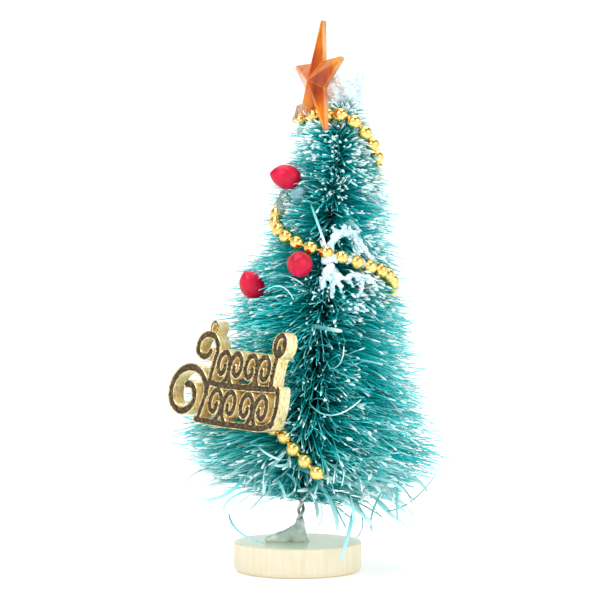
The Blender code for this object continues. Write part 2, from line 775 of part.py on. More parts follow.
def make_glue(trunk_clearance, brush_clearance, star_clearance, channel, berry_tools):
    clear = material("glue_clear", (0.86, 0.88, 0.86), 0.2, clear=0.6)
    blue = material("glue_blue", (0.45, 0.66, 0.72), 0.2, clear=0.5)
    make_base_glue(clear, trunk_clearance)

    across, forward, above = STAR_GLUE_PLACE
    foot = on_face(STAR_BEARING, STAR_DISTANCE + forward, across, bead_between_legs() + above)
    dab = lump("star_glue", STAR_GLUE_SIZE, foot, 5, clear, TRUNK)
    cut(dab, star_clearance, channel, brush_clearance)

    cut(lump_on_cone("garland_glue", GARLAND_GLUE, 8, clear), channel, brush_clearance)
    cut(lump_on_cone("berry_glue", BERRY_GLUE, 11, blue), brush_clearance, channel, *berry_tools)

    middle = plaque_back() - PLAQUE_GLUE / 2
    place = on_face(PLAQUE_BEARING, middle, PLAQUE_OFFSET, plaque_height() - PLAQUE_GLUE_DROP)
    half_width, half_height = PLAQUE_GLUE_SIZE
    thin = (PLAQUE_GLUE / 2 - GAP) / (CAGE_GROWTH + LUMP_UNEVENNESS)
    pad = lump("plaque_glue", (half_width, thin, half_height), place, 13, blue, TRUNK, PLAQUE_BEARING)
    cut(pad, channel)


def make_snow(trunk_clearance, brush_clearance, star_clearance, channel):
    snow = material("snow_flock", (0.92, 0.95, 0.96), 0.85)
    place = (0.0, 0.0, BRUSH_TOP + CAP_RISE)
    cap = lump("snow_cap", (CAP_RADIUS, CAP_RADIUS, CAP_HEIGHT / 2), place, 21, snow, TRUNK)
    cut(cap, trunk_clearance, brush_clearance, star_clearance)
    cut(lump_on_cone("flock_upper", FLOCK_UPPER, 24, snow), brush_clearance, channel)
    cut(lump_on_cone("flock_lower", FLOCK_LOWER, 27, snow), brush_clearance, channel)


def build():
    trunk_clearance = make_trunk_clearance()
    make_base(trunk_clearance)
    make_strands()
    line = garland_line()
    make_garland(line)
    channel = make_garland_channel(line)
    make_star()
    star_clearance = make_star_clearance()
    berry_tools = []
    for name, (bearing, share, nose) in BERRIES.items():
        berry_tools += make_berry(name, bearing, share, nose)
    make_plaque()
    make_brush([channel, make_star_seat(), make_plaque_seat(), *berry_tools])
    brush_clearance = make_brush_clearance()
    make_glue(trunk_clearance, brush_clearance, star_clearance, channel, berry_tools[:2])
    make_snow(trunk_clearance, brush_clearance, star_clearance, channel)


for old in list(bpy.data.objects):
    bpy.data.objects.remove(old)

PARTS = collection("tabletop_tree")
CUTTERS = collection("cutters")
CUTTERS.hide_render = True

TRUNK = bpy.data.objects.new("trunk_axis", None)
PARTS.objects.link(TRUNK)
TRUNK.location = (0.0, 0.0, BASE_HEIGHT)
TRUNK.rotation_euler = (0.0, TRUNK_LEAN, 0.0)

build()
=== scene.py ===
# %% [markdown]
# # A bottle-brush tree on a wooden disc
# The tree is a cone of teal bristles clamped in a twisted wire. It carries a star, a string of
# gold beads, three berries, a plated plaque, and dabs of glue and snow.
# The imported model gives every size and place. This lesson adds what a CAD solid can't show:
# thousands of bristles, frost on their tips, plating, pearl lacquer and clear glue.

from math import acos, atan2, cos, pi, radians, sin, sqrt

import bmesh
import bpy
import numpy as np
from mathutils import Matrix, Vector, noise


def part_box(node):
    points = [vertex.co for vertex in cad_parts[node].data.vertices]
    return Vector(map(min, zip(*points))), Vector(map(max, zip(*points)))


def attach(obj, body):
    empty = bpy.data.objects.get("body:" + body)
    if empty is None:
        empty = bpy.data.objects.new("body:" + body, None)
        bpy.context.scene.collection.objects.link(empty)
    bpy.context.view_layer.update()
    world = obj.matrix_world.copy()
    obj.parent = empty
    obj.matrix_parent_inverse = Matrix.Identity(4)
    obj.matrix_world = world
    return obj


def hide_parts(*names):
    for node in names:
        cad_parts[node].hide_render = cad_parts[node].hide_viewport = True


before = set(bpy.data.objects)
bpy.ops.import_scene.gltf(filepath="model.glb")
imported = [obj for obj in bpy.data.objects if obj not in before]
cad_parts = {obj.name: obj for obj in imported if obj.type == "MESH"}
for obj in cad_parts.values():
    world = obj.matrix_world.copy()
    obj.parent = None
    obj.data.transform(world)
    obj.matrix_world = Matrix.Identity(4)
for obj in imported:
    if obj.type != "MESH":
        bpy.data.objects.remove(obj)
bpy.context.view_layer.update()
MM = 0.001

# %% [markdown]
# ## Camera, floor and light
# The tree stands on a pale floor under large soft lights.
# An even white sky would make the gold look flat, because gold shows only what it reflects.
# So the sky is white round the horizon and greyer overhead, and four soft boxes add highlights.
# The floor glows a little, so that it stays white round the foot.

# %% Camera
CAMERA_DISTANCE = 0.5
CAMERA_HEIGHT = 0.07396
CAMERA_ACROSS = 0.00063

camera_data = bpy.data.cameras.new("camera")
camera_data.lens = 109.5
camera_data.sensor_width = 36.0
camera = bpy.data.objects.new("camera", camera_data)
bpy.context.scene.collection.objects.link(camera)
camera.location = (CAMERA_ACROSS, -CAMERA_DISTANCE, CAMERA_HEIGHT)
camera.rotation_euler = (pi / 2, 0.0, 0.0)
bpy.context.scene.camera = camera
bpy.context.scene.view_settings.view_transform = "Standard"
print("camera", tuple(camera.location))


# %% Helpers for materials
def new_material(name, colour, roughness, **plain):
    """A Principled material. plain holds other socket values, with _ for a space."""
    made = bpy.data.materials.new(name)
    made.use_nodes = True
    shader = made.node_tree.nodes["Principled BSDF"]
    shader.inputs["Base Color"].default_value = (*colour, 1.0)
    shader.inputs["Roughness"].default_value = roughness
    for socket, value in plain.items():
        shader.inputs[socket.replace("_", " ")].default_value = value
    return made


def node_in(made, kind, **values):
    """A new node in a material or the sky, with its named sockets set."""
    node = made.node_tree.nodes.new(kind)
    for socket, value in values.items():
        node.inputs[socket.replace("_", " ")].default_value = value
    return node


def wire_up(made, start, end):
    made.node_tree.links.new(start, end)


def place_noise(made, scale, detail=3.0, stretch=(1.0, 1.0, 1.0)):
    """Noise fixed to the object's own coordinates. scale counts lumps per millimetre."""
    where = node_in(made, "ShaderNodeTexCoord")
    mapping = node_in(made, "ShaderNodeMapping")
    mapping.inputs["Scale"].default_value = [scale / MM * part for part in stretch]
    texture = node_in(made, "ShaderNodeTexNoise", Scale=1.0, Detail=detail)
    wire_up(made, where.outputs["Object"], mapping.inputs["Vector"])
    wire_up(made, mapping.outputs["Vector"], texture.inputs["Vector"])
    return texture.outputs["Fac"]


def ramp(made, source, stops):
    """A colour ramp. stops are (place, colour) pairs."""
    node = node_in(made, "ShaderNodeValToRGB")
    wire_up(made, source, node.inputs["Fac"])
    points = node.color_ramp.elements
    while len(points) < len(stops):
        points.new(0.5)
    for point, (place, colour) in zip(points, stops):
        point.position = place
        point.color = (*colour, 1.0)
    return node.outputs["Color"]


def tinted(made, source, stops):
    """Sends a ramp of the source to the base colour."""
    shader = made.node_tree.nodes["Principled BSDF"]
    wire_up(made, ramp(made, source, stops), shader.inputs["Base Color"])


def roughened(made, source, low, high):
    """Spreads the roughness between two values by the source."""
    spread = node_in(made, "ShaderNodeMapRange")
    spread.inputs["To Min"].default_value = low
    spread.inputs["To Max"].default_value = high
    wire_up(made, source, spread.inputs["Value"])
    shader = made.node_tree.nodes["Principled BSDF"]
    wire_up(made, spread.outputs["Result"], shader.inputs["Roughness"])


def bumped(made, source, depth, strength=1.0):
    """Raises the surface by the source, at most depth metres."""
    bump = node_in(made, "ShaderNodeBump", Strength=strength, Distance=depth)
    wire_up(made, source, bump.inputs["Height"])
    shader = made.node_tree.nodes["Principled BSDF"]
    wire_up(made, bump.outputs["Normal"], shader.inputs["Normal"])


# %% Floor, sky and lamps
FLOOR_SIZE = 1.5
SKY_STRENGTH = 1.18
LAMP_TARGET = Vector((0.0, 0.0, 0.07))

corners = [Vector((x, y, 0.0)) * FLOOR_SIZE / 2 for x, y in ((-1, -1), (1, -1), (1, 1), (-1, 1))]
floor_mesh = bpy.data.meshes.new("floor")
floor_mesh.from_pydata(corners, [], [(0, 1, 2, 3)])
floor = bpy.data.objects.new("floor", floor_mesh)
bpy.context.scene.collection.objects.link(floor)
glow = {"Emission_Color": (1.0, 1.0, 1.0, 1.0), "Emission_Strength": 0.14}
floor_paint = new_material("floor_paint", (0.98, 0.98, 0.98), 0.9, **glow)
floor.data.materials.append(floor_paint)

world = bpy.data.worlds.new("studio")
bpy.context.scene.world = world
world.use_nodes = True
sky = world.node_tree.nodes["Background"]
sky.inputs["Strength"].default_value = SKY_STRENGTH
sky_height = node_in(world, "ShaderNodeSeparateXYZ")
wire_up(world, node_in(world, "ShaderNodeTexCoord").outputs["Generated"], sky_height.inputs[0])
sky_colours = ramp(world, sky_height.outputs["Z"], [(0.22, (1.0, 1.0, 1.0)), (0.62, (0.34, 0.35, 0.37))])
wire_up(world, sky_colours, sky.inputs["Color"])


def lamp(name, place, size, power):
    """A square soft box, its side in metres, that faces the middle of the tree."""
    data = bpy.data.lights.new(name, "AREA")
    data.size = size
    data.energy = power
    made = bpy.data.objects.new(name, data)
    bpy.context.scene.collection.objects.link(made)
    made.location = place
    aim = LAMP_TARGET - Vector(place)
    made.rotation_euler = aim.to_track_quat("-Z", "Y").to_euler()


lamp("key_light", (-0.45, -0.75, 0.85), size=0.5, power=5.0)
lamp("fill_light", (0.9, -0.5, 0.5), size=0.6, power=3.0)
lamp("back_light", (0.3, 0.9, 0.8), size=0.6, power=2.5)
lamp("top_light", (0.0, 0.1, 1.3), size=1.2, power=12.0)
print("stage ready")

# %% [markdown]
# ## The trunk's own frame
# The trunk leans, so heights run along it from the top of the base, and bearings turn round
# it: 0 faces the front and 90 faces +X. The same few formulas as the CAD's place every bead,
# berry and bristle, and the bead string's route is repeated point by point.

# %% Measures shared with the CAD
GAP = 0.3 * MM
TRUNK_LEAN = radians(5.9)
BASE_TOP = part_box("wood_base")[1].z
TRUNK = Matrix.Translation((0.0, 0.0, BASE_TOP)) @ Matrix.Rotation(TRUNK_LEAN, 4, "Y")

BRUSH_BOTTOM = 9.5 * MM
BRUSH_TOP = 120.5 * MM
SKIRT_HEIGHT = 18.5 * MM
SKIRT_RADIUS = 30.0 * MM
SHOULDER_HEIGHT = 109.0 * MM
SHOULDER_RADIUS = 9.2 * MM

STAR_BEARING = radians(-68)
STAR_DISTANCE = 8.2 * MM
STAR_HEIGHT = BRUSH_TOP + 4.8 * MM
STAR_RADIUS = 16.7 * MM
STAR_NOTCH_RADIUS = 6.5 * MM
STAR_TIP_WIDTH = 0.9 * MM

BEAD_RADIUS = 1.95 * MM
BEAD_PITCH = 4.35 * MM
GARLAND_SINK = 1.0 * MM

PLAQUE_BEARING = radians(-41)
PLAQUE_SHARE = 0.302
PLAQUE_STANDOFF = 1.2 * MM
PLAQUE_OFFSET = -6.6 * MM
PLAQUE_DEPTH = 4.0 * MM
PLAQUE_HALF_WIDTH = 20.5 * MM
PLAQUE_HALF_HEIGHT = 14.5 * MM


def height_at(share):
    return BRUSH_BOTTOM + share * (BRUSH_TOP - BRUSH_BOTTOM)


def cone_radius(height):
    """The CAD cone's radius at a height."""
    if height <= SHOULDER_HEIGHT:
        share = (height - SKIRT_HEIGHT) / (SHOULDER_HEIGHT - SKIRT_HEIGHT)
        return SKIRT_RADIUS + (SHOULDER_RADIUS - SKIRT_RADIUS) * share
    rise = (height - SHOULDER_HEIGHT) / (BRUSH_TOP - SHOULDER_HEIGHT)
    return SHOULDER_RADIUS * sqrt(max(0.0, 1 - rise**2))


def round_trunk(bearing, height, distance):
    return Vector((distance * sin(bearing), -distance * cos(bearing), height))


def on_face(bearing, distance, across, height):
    """A point on an upright plane that faces a bearing."""
    outwards = round_trunk(bearing, 0.0, 1.0)
    sideways = Vector((cos(bearing), sin(bearing), 0.0))
    return outwards * distance + sideways * across + Vector((0.0, 0.0, height))


PLAQUE_HEIGHT = height_at(PLAQUE_SHARE)
PLAQUE_BACK = cone_radius(PLAQUE_HEIGHT) + PLAQUE_STANDOFF
print("plaque back at", round(PLAQUE_BACK / MM, 2), "mm from the trunk")


# %% Helpers for new pieces
def new_piece(name, mesh, materials, slot, *stands_for):
    """Links a mesh given in world metres as a piece that stands for CAD nodes."""
    made = bpy.data.objects.new(name, mesh)
    bpy.context.scene.collection.objects.link(made)
    for finish in materials:
        made.data.materials.append(finish)
    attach(made, "root")
    if stands_for:
        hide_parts(*stands_for)
    return made


def from_mm(spot):
    return Vector([part * MM for part in spot])


def mesh_from(shape, name, smooth=True):
    mesh = bpy.data.meshes.new(name)
    shape.to_mesh(mesh)
    shape.free()
    if smooth:
        mesh.shade_smooth()
    return mesh


def smooth_line(points, per_span=8):
    """Points of a smooth curve that passes through all the given ones."""
    ends = [2 * points[0] - points[1], *points, 2 * points[-1] - points[-2]]
    line = []
    for a, b, c, d in zip(ends, ends[1:], ends[2:], ends[3:]):
        for i in range(per_span):
            t = i / per_span
            line.append(
                b
                + (c - a) * (t / 2)
                + (2 * a - 5 * b + 4 * c - d) * (t**2 / 2)
                + (3 * b - a - 3 * c + d) * (t**3 / 2)
            )
    line.append(points[-1])
    return line


def along(line, distances):
    """The points that lie these distances along a line."""
    found = []
    walked = 0.0
    start = 0
    for distance in distances:
        step = (line[start + 1] - line[start]).length
        while walked + step < distance and start < len(line) - 2:
            walked += step
            start += 1
            step = (line[start + 1] - line[start]).length
        found.append(line[start].lerp(line[start + 1], (distance - walked) / step))
    return found


def length_of(line):
    return sum((b - a).length for a, b in zip(line, line[1:]))


def turned_mesh(name, profile, steps, place=Matrix.Identity(4), sharp=40):
    """A profile of (radius, height) points turned about Z, from top to bottom."""
    shape = bmesh.new()
    rings = []
    for radius, height in profile:
        if radius < 1e-7:
            rings.append([shape.verts.new(place @ Vector((0.0, 0.0, height)))])
            continue
        turns = [2 * pi * i / steps for i in range(steps)]
        spots = [Vector((radius * cos(turn), radius * sin(turn), height)) for turn in turns]
        rings.append([shape.verts.new(place @ spot) for spot in spots])
    for upper, lower in zip(rings, rings[1:]):
        for i in range(steps):
            j = (i + 1) % steps
            left = [upper[i % len(upper)], lower[i % len(lower)]]
            right = [lower[j % len(lower)], upper[j % len(upper)]]
            corners = list(dict.fromkeys(left + right))
            if len(corners) > 2:
                shape.faces.new(corners)
    mesh = mesh_from(shape, name)
    mesh.set_sharp_from_angle(angle=radians(sharp))
    return mesh


def arc(centre, radius, start, end, steps):
    turns = [start + (end - start) * i / steps for i in range(steps + 1)]
    return [(centre[0] + radius * cos(t), centre[1] + radius * sin(t)) for t in turns]


# %% [markdown]
# ## The wooden base
# A disc turned from pale wood. Its side is cream, with faint upright marks from the grain,
# and its foot is well rounded. Glue has run over the top and left a thin glossy film. The top's
# pale green is partly that film's tint and partly a painted reflection of the teal tree.
# The side and the top get a material each, and the faces choose by how far they face up.

# %% Base
base_low, base_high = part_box("wood_base")
BASE_RADIUS = (base_high.x - base_low.x) / 2
FOOT_ROUND = 1.6 * MM
TOP_ROUND = 0.45 * MM
RIM_START = 14 * MM  # beyond this the disc is a little uneven
UNEVENNESS = 0.08 * MM


def base_mesh():
    top = (BASE_RADIUS - TOP_ROUND, BASE_TOP - TOP_ROUND)
    foot = (BASE_RADIUS - FOOT_ROUND, FOOT_ROUND)
    profile = [(0.0, BASE_TOP), (3 * MM, BASE_TOP), (9 * MM, BASE_TOP), (RIM_START, BASE_TOP)]
    profile += arc(top, TOP_ROUND, pi / 2, 0.0, 5)
    profile += [(BASE_RADIUS, BASE_TOP * share) for share in (0.75, 0.5, 0.3)]
    profile += arc(foot, FOOT_ROUND, 0.0, -pi / 2, 8)
    profile += [(10 * MM, 0.0), (0.0, 0.0)]
    mesh = turned_mesh("base_disc", profile, 128)
    for vertex in mesh.vertices:
        reach = Vector((vertex.co.x, vertex.co.y)).length
        if reach > RIM_START:
            wobble = noise.noise(vertex.co * 120) * UNEVENNESS
            vertex.co.x *= 1 - abs(wobble) / reach
            vertex.co.y *= 1 - abs(wobble) / reach
    for face in mesh.polygons:
        # Faces that face up take the top's film, tinted with a painted reflection of the tree.
        face.material_index = 1 if face.normal.z > 0.8 else 0
    return mesh


wood_side = new_material("wood_side", (0.78, 0.69, 0.50), 0.55)
side_grain = place_noise(wood_side, 1.1, 4.0, stretch=(1.0, 1.0, 0.06))
wood_tones = [(0.3, (0.75, 0.65, 0.46)), (0.5, (0.78, 0.69, 0.50)), (0.7, (0.80, 0.72, 0.54))]
tinted(wood_side, side_grain, wood_tones)
bumped(wood_side, side_grain, 0.05 * MM, 0.5)

# The top's greenish tones are partly a painted reflection of the teal tree on the glue film.
base_film_and_reflection = new_material("base_film_and_reflection", (0.72, 0.80, 0.66), 0.3, Coat_Weight=0.2, Coat_Roughness=0.08)
film_patches = place_noise(base_film_and_reflection, 0.12, 4.0)
film_and_reflection_tones = [(0.35, (0.80, 0.84, 0.58)), (0.55, (0.84, 0.87, 0.61)), (0.75, (0.88, 0.88, 0.62))]
tinted(base_film_and_reflection, film_patches, film_and_reflection_tones)
roughened(base_film_and_reflection, film_patches, 0.22, 0.42)

base = new_piece("base_disc", base_mesh(), [wood_side, base_film_and_reflection], "base_wood", "wood_base")
print("base", len(base.data.polygons), "faces")

# %% [markdown]
# ## The twisted wire
# Two steel wires are twisted together with the bristles between them. Each is swept round
# its own helix. A curve with a round bevel does this, with enough points to look smooth.

# %% Twisted wires
STRAND_RADIUS = 0.5 * MM
TWIST_PITCH = 6.5 * MM
TRUNK_TOP = 126.2 * MM
SOCKET_DEPTH = 6.0 * MM
TWIST_RADIUS = STRAND_RADIUS + GAP / 2


def round_wire(name, points, radius, sides=4):
    """A mesh tube with closed ends through points in the trunk's frame."""
    curve = bpy.data.curves.new(name, "CURVE")
    curve.dimensions = "3D"
    curve.bevel_depth = radius
    curve.bevel_resolution = sides
    curve.use_fill_caps = True
    spline = curve.splines.new("POLY")
    spline.points.add(len(points) - 1)
    for i, point in enumerate(points):
        spline.points[i].co = (*(TRUNK @ Vector(point)), 1.0)
    holder = bpy.data.objects.new(name, curve)
    mesh = bpy.data.meshes.new_from_object(holder)
    bpy.data.objects.remove(holder)
    mesh.shade_smooth()
    mesh.set_sharp_from_angle(angle=radians(50))
    return mesh


def helix(start):
    per_turn = 20
    run = TRUNK_TOP + SOCKET_DEPTH
    count = int(run / TWIST_PITCH * per_turn)
    points = []
    for i in range(count + 1):
        height = run * i / count - SOCKET_DEPTH
        points.append(round_trunk(start + 2 * pi * i / per_turn, height, TWIST_RADIUS))
    return points


steel = new_material("galvanised_wire", (0.50, 0.49, 0.47), 0.3, Metallic=1.0)
zinc = place_noise(steel, 1.8, 4.0)
tinted(steel, zinc, [(0.3, (0.36, 0.35, 0.34)), (0.7, (0.66, 0.65, 0.63))])
roughened(steel, zinc, 0.2, 0.45)
for letter, start in (("a", 0.0), ("b", pi)):
    mesh = round_wire(f"wire_{letter}", helix(start), STRAND_RADIUS)
    new_piece(f"wire_{letter}", mesh, [steel], "trunk_wire", f"trunk_strand_{letter}")
print("two wires of", round((TRUNK_TOP + SOCKET_DEPTH) / MM), "mm")

# %% [markdown]
# ## The bead string
# Plated plastic beads on a thin thread. Each bead is a small turned ball, and the collars at
# its poles meet the next bead's, which is what shows of the thread. The beads are set along
# the same route as in the CAD.

# %% Bead route
GARLAND_START = (
    (-0.0034, 1, 0.00045, -0.0016),
    (0.0, 0, -0.0003, 0.0),
    (0.0034, -1, -0.00115, 0.0004),
)
GARLAND_ROUTE = (
    (2, 0.962, 0.0),
    (30, 0.943, 0.0),
    (60, 0.906, 0.0),
    (90, 0.857, 0.0),
    (125, 0.820, 0.0),
    (160, 0.797, 0.0),
    (200, 0.775, 0.0),
    (240, 0.752, 0.0),
    (265, 0.725, 0.0),
    (290, 0.683, 0.0),
    (315, 0.655, 0.0),
    (335, 0.638, 0.0),
    (355, 0.627, 0.0),
    (375, 0.616, 0.0),
    (398, 0.604, 0.0),
    (422, 0.592, 0.0),
    (450, 0.565, 0.0),
    (485, 0.520, 0.0),
    (520, 0.473, 0.0),
    (560, 0.417, 0.0),
    (600, 0.355, 0.0),
    (630, 0.298, 0.0),
    (655, 0.255, 0.0),
    (680, 0.217, 0.0),
    (703, 0.182, 0.0),
    (710, 0.163, 0.0024),
    (717, 0.139, 0.0022),
    (724, 0.115, 0.0018),
    (731, 0.094, 0.0010),
    (735, 0.082, 0.0008),
)


def pushed_behind_plaque(point):
    """The point moved in until a bead there clears the plaque's back."""
    outwards = on_face(PLAQUE_BEARING, 1.0, 0.0, 0.0)
    across = on_face(PLAQUE_BEARING, 0.0, 1.0, 0.0).dot(point) - PLAQUE_OFFSET
    over = outwards.dot(point) - (PLAQUE_BACK - BEAD_RADIUS - 2 * GAP)
    beside = abs(across) > PLAQUE_HALF_WIDTH + BEAD_RADIUS
    below = point.z < PLAQUE_HEIGHT - PLAQUE_HALF_HEIGHT - BEAD_RADIUS
    return point if over <= 0 or beside or below else point - outwards * over


def bead_between_legs():
    """The height at which a bead just fits between the star's two lower legs."""
    half_tip = STAR_TIP_WIDTH / 2
    leg_across = STAR_RADIUS * sin(pi / 5) - half_tip * cos(pi / 5)
    leg_down = STAR_RADIUS * cos(pi / 5) + half_tip * sin(pi / 5)
    slope = atan2(leg_down - STAR_NOTCH_RADIUS, leg_across)
    return STAR_HEIGHT - STAR_NOTCH_RADIUS - (BEAD_RADIUS + GAP) / cos(slope)


def garland_line():
    points = []
    for across, side, forward, above in GARLAND_START:
        distance = STAR_DISTANCE + side * BEAD_RADIUS + forward
        points.append(on_face(STAR_BEARING, distance, across, bead_between_legs() + above))
    points[0] += (points[0] - points[1]).normalized() * BEAD_PITCH / 2
    for bearing, share, deeper in GARLAND_ROUTE:
        height = height_at(share)
        distance = cone_radius(height) + BEAD_RADIUS - GARLAND_SINK - deeper
        points.append(pushed_behind_plaque(round_trunk(radians(bearing), height, distance)))
    return smooth_line(points)


thread_line = garland_line()
bead_count = int(length_of(thread_line) / BEAD_PITCH)
bead_places = along(thread_line, [(i + 0.5) * BEAD_PITCH for i in range(bead_count)])
bead_ways = along(thread_line, [(i + 0.5) * BEAD_PITCH + 0.2 * MM for i in range(bead_count)])
print(bead_count, "beads on", round(length_of(thread_line) / MM), "mm of thread")


# %% Beads
COLLAR = 0.42 * MM


def bead_profile():
    """A ball with a short collar at each pole, from top to bottom."""
    reach = BEAD_PITCH / 2
    ball = arc((0.0, 0.0), BEAD_RADIUS, radians(77), radians(-77), 13)
    top = [(0.0, reach), (COLLAR * 0.8, reach), (COLLAR, BEAD_RADIUS)]
    foot = [(COLLAR, -BEAD_RADIUS), (COLLAR * 0.8, -reach), (0.0, -reach)]
    return top + ball + foot


def bead_string():
    shape = bmesh.new()
    for place, ahead in zip(bead_places, bead_ways):
        way = (ahead - place).normalized()
        stand = TRUNK @ Matrix.Translation(place) @ way.to_track_quat("Z", "X").to_matrix().to_4x4()
        one = turned_mesh("one_bead", bead_profile(), 22, stand)
        shape.from_mesh(one)
        bpy.data.meshes.remove(one)
    mesh = mesh_from(shape, "bead_string")
    mesh.set_sharp_from_angle(angle=radians(45))
    return mesh


bead_gold = new_material("bead_plating", (0.90, 0.62, 0.18), 0.13, Metallic=1.0)
plating = place_noise(bead_gold, 0.9, 3.0)
tinted(bead_gold, plating, [(0.3, (0.80, 0.49, 0.11)), (0.6, (0.93, 0.68, 0.24))])
roughened(bead_gold, plating, 0.08, 0.24)
bumped(bead_gold, plating, 0.06 * MM, 0.4)
beads = new_piece("bead_string", bead_string(), [bead_gold], "bead_gold", "bead_garland")
print("bead string", len(beads.data.polygons), "faces")

# %% [markdown]
# ## The berries
# Foam cores with a pearl lacquer, drawn out to a small nose and pinned on dark wire. The
# lacquer is a rough red with a thin clear coat, so it has one soft and one sharp highlight.

# %% Berries
BERRY_RADIUS = 3.3 * MM
BERRY_LENGTH = 8.2 * MM
BERRY_NOSE = 0.7 * MM
BERRY_SINK = 1.0 * MM
BERRY_FLAT_TURN = radians(150)  # from the nose round to the flat at the stem
NOSE_DIMPLE = 0.35 * MM
LACQUER_WAVE = 0.06 * MM
STEM_RADIUS = 0.4 * MM
STEM_HOLE_DEPTH = 2.2 * MM
STEM_STRAIGHT = 1.4 * MM
STEM_BENDS = (2.8 * MM, 5.3 * MM)  # in towards the trunk from its bend
BERRIES = {
    "upper": (-64, 0.801, (-0.97, -0.22, 0.08)),
    "middle": (-21, 0.590, (-0.30, -0.95, 0.10)),
    "lower": (-66, 0.529, (-0.50, -0.42, 0.76)),
}


def berry_stand(bearing, share, nose):
    """Stands a berry's +Z along its nose, with its body just in the bristles."""
    nose = Vector(nose).normalized()
    outwards = round_trunk(radians(bearing), 0.0, 1.0)
    lean = abs(nose.dot(outwards))
    reach = sqrt((BERRY_LENGTH / 2 * lean) ** 2 + (BERRY_RADIUS * sin(acos(lean))) ** 2)
    height = height_at(share)
    distance = cone_radius(height) + reach - BERRY_SINK
    place = round_trunk(radians(bearing), height, distance)
    return Matrix.Translation(place) @ nose.to_track_quat("Z", "X").to_matrix().to_4x4()


def berry_profile():
    """From the dimple in the nose down to the flat where the stem enters."""
    profile = [(0.0, BERRY_LENGTH / 2 + BERRY_NOSE - NOSE_DIMPLE)]
    steps = 33
    for i in range(1, steps + 1):
        turn = BERRY_FLAT_TURN * i / steps
        nose = BERRY_NOSE * max(0.0, 1 - turn / radians(45)) ** 2
        profile.append((BERRY_RADIUS * sin(turn), BERRY_LENGTH / 2 * cos(turn) + nose))
    flat = profile[-1][1]
    return profile + [(0.9 * MM, flat - 0.05 * MM), (0.5 * MM, flat + 0.2 * MM), (0.0, flat + 0.3 * MM)]


def stem_line(stand):
    """Out of the berry's foot, then bent in towards the trunk."""
    flat = BERRY_LENGTH / 2 * cos(BERRY_FLAT_TURN)
    inside = stand @ Vector((0.0, 0.0, flat + STEM_HOLE_DEPTH))
    mouth = stand @ Vector((0.0, 0.0, flat))
    beyond = stand @ Vector((0.0, 0.0, flat - STEM_STRAIGHT))
    inwards = Vector((-beyond.x, -beyond.y, 0.0)).normalized()
    return smooth_line([inside, mouth, beyond, *(beyond + inwards * bend for bend in STEM_BENDS)], 5)


clear_coat = {"Coat_Weight": 0.12, "Coat_Roughness": 0.1}
pearl = new_material("pearl_lacquer", (0.72, 0.004, 0.045), 0.42, Specular_IOR_Level=0.22, **clear_coat)
shimmer = place_noise(pearl, 0.35, 5.0)
pearl_tones = [(0.3, (0.42, 0.001, 0.02)), (0.55, (0.60, 0.001, 0.038)), (0.75, (0.74, 0.006, 0.10))]
tinted(pearl, shimmer, pearl_tones)
bumped(pearl, place_noise(pearl, 2.4, 2.0), 0.03 * MM, 0.5)

stem_paper = new_material("stem_paper", (0.10, 0.07, 0.06), 0.6)
paper_wrap = place_noise(stem_paper, 2.0, 3.0)
tinted(stem_paper, paper_wrap, [(0.3, (0.05, 0.035, 0.03)), (0.7, (0.17, 0.12, 0.09))])
bumped(stem_paper, paper_wrap, 0.08 * MM)

noise.seed_set(12)  # without it noise_vector gives other waves in each run
berry_places = []
for name, (bearing, share, nose) in BERRIES.items():
    stand = berry_stand(bearing, share, nose)
    berry_places.append(stand.translation.copy())
    mesh = turned_mesh(f"pearl_berry_{name}", berry_profile(), 40, TRUNK @ stand)
    for vertex in mesh.vertices:
        vertex.co += Vector(noise.noise_vector(vertex.co * 400)) * LACQUER_WAVE
    new_piece(f"pearl_berry_{name}", mesh, [pearl], "berry_pearl", f"berry_{name}")
    stem = round_wire(f"berry_wire_{name}", stem_line(stand), STEM_RADIUS, 3)
    new_piece(f"berry_wire_{name}", stem, [stem_paper], "stem_wire", f"berry_stem_{name}")
print(len(berry_places), "berries")

# %% [markdown]
# ## The star
# A faceted five-point star in clear amber plastic. Each half rises from a thin rim to a point
# in the middle, and every edge is a little soft, which is what catches the light. Facets that
# face apart pass different light, and that is painted in: the facets listed as shaded take a
# darker copy of the same plastic, which is painted shade, the rest a lighter copy, which is
# painted light, and the thin rim takes a paler one.

# %% Star
STAR_THICKNESS = 6.0 * MM
STAR_RIM = 1.2 * MM
STAR_EDGE = 0.14 * MM
SHADED_FACETS = (2, 5, 8, 10, 11, 14)  # of the front's 15, the ones painted darker as painted shade


def star_outline():
    outline = []
    for i in range(5):
        turn = pi / 2 + 2 * pi * i / 5
        tip = Vector((cos(turn), sin(turn))) * STAR_RADIUS
        side = Vector((-sin(turn), cos(turn))) * STAR_TIP_WIDTH / 2
        outline += [tip - side, tip + side]
        outline.append(Vector((cos(turn + pi / 5), sin(turn + pi / 5))) * STAR_NOTCH_RADIUS)
    return outline


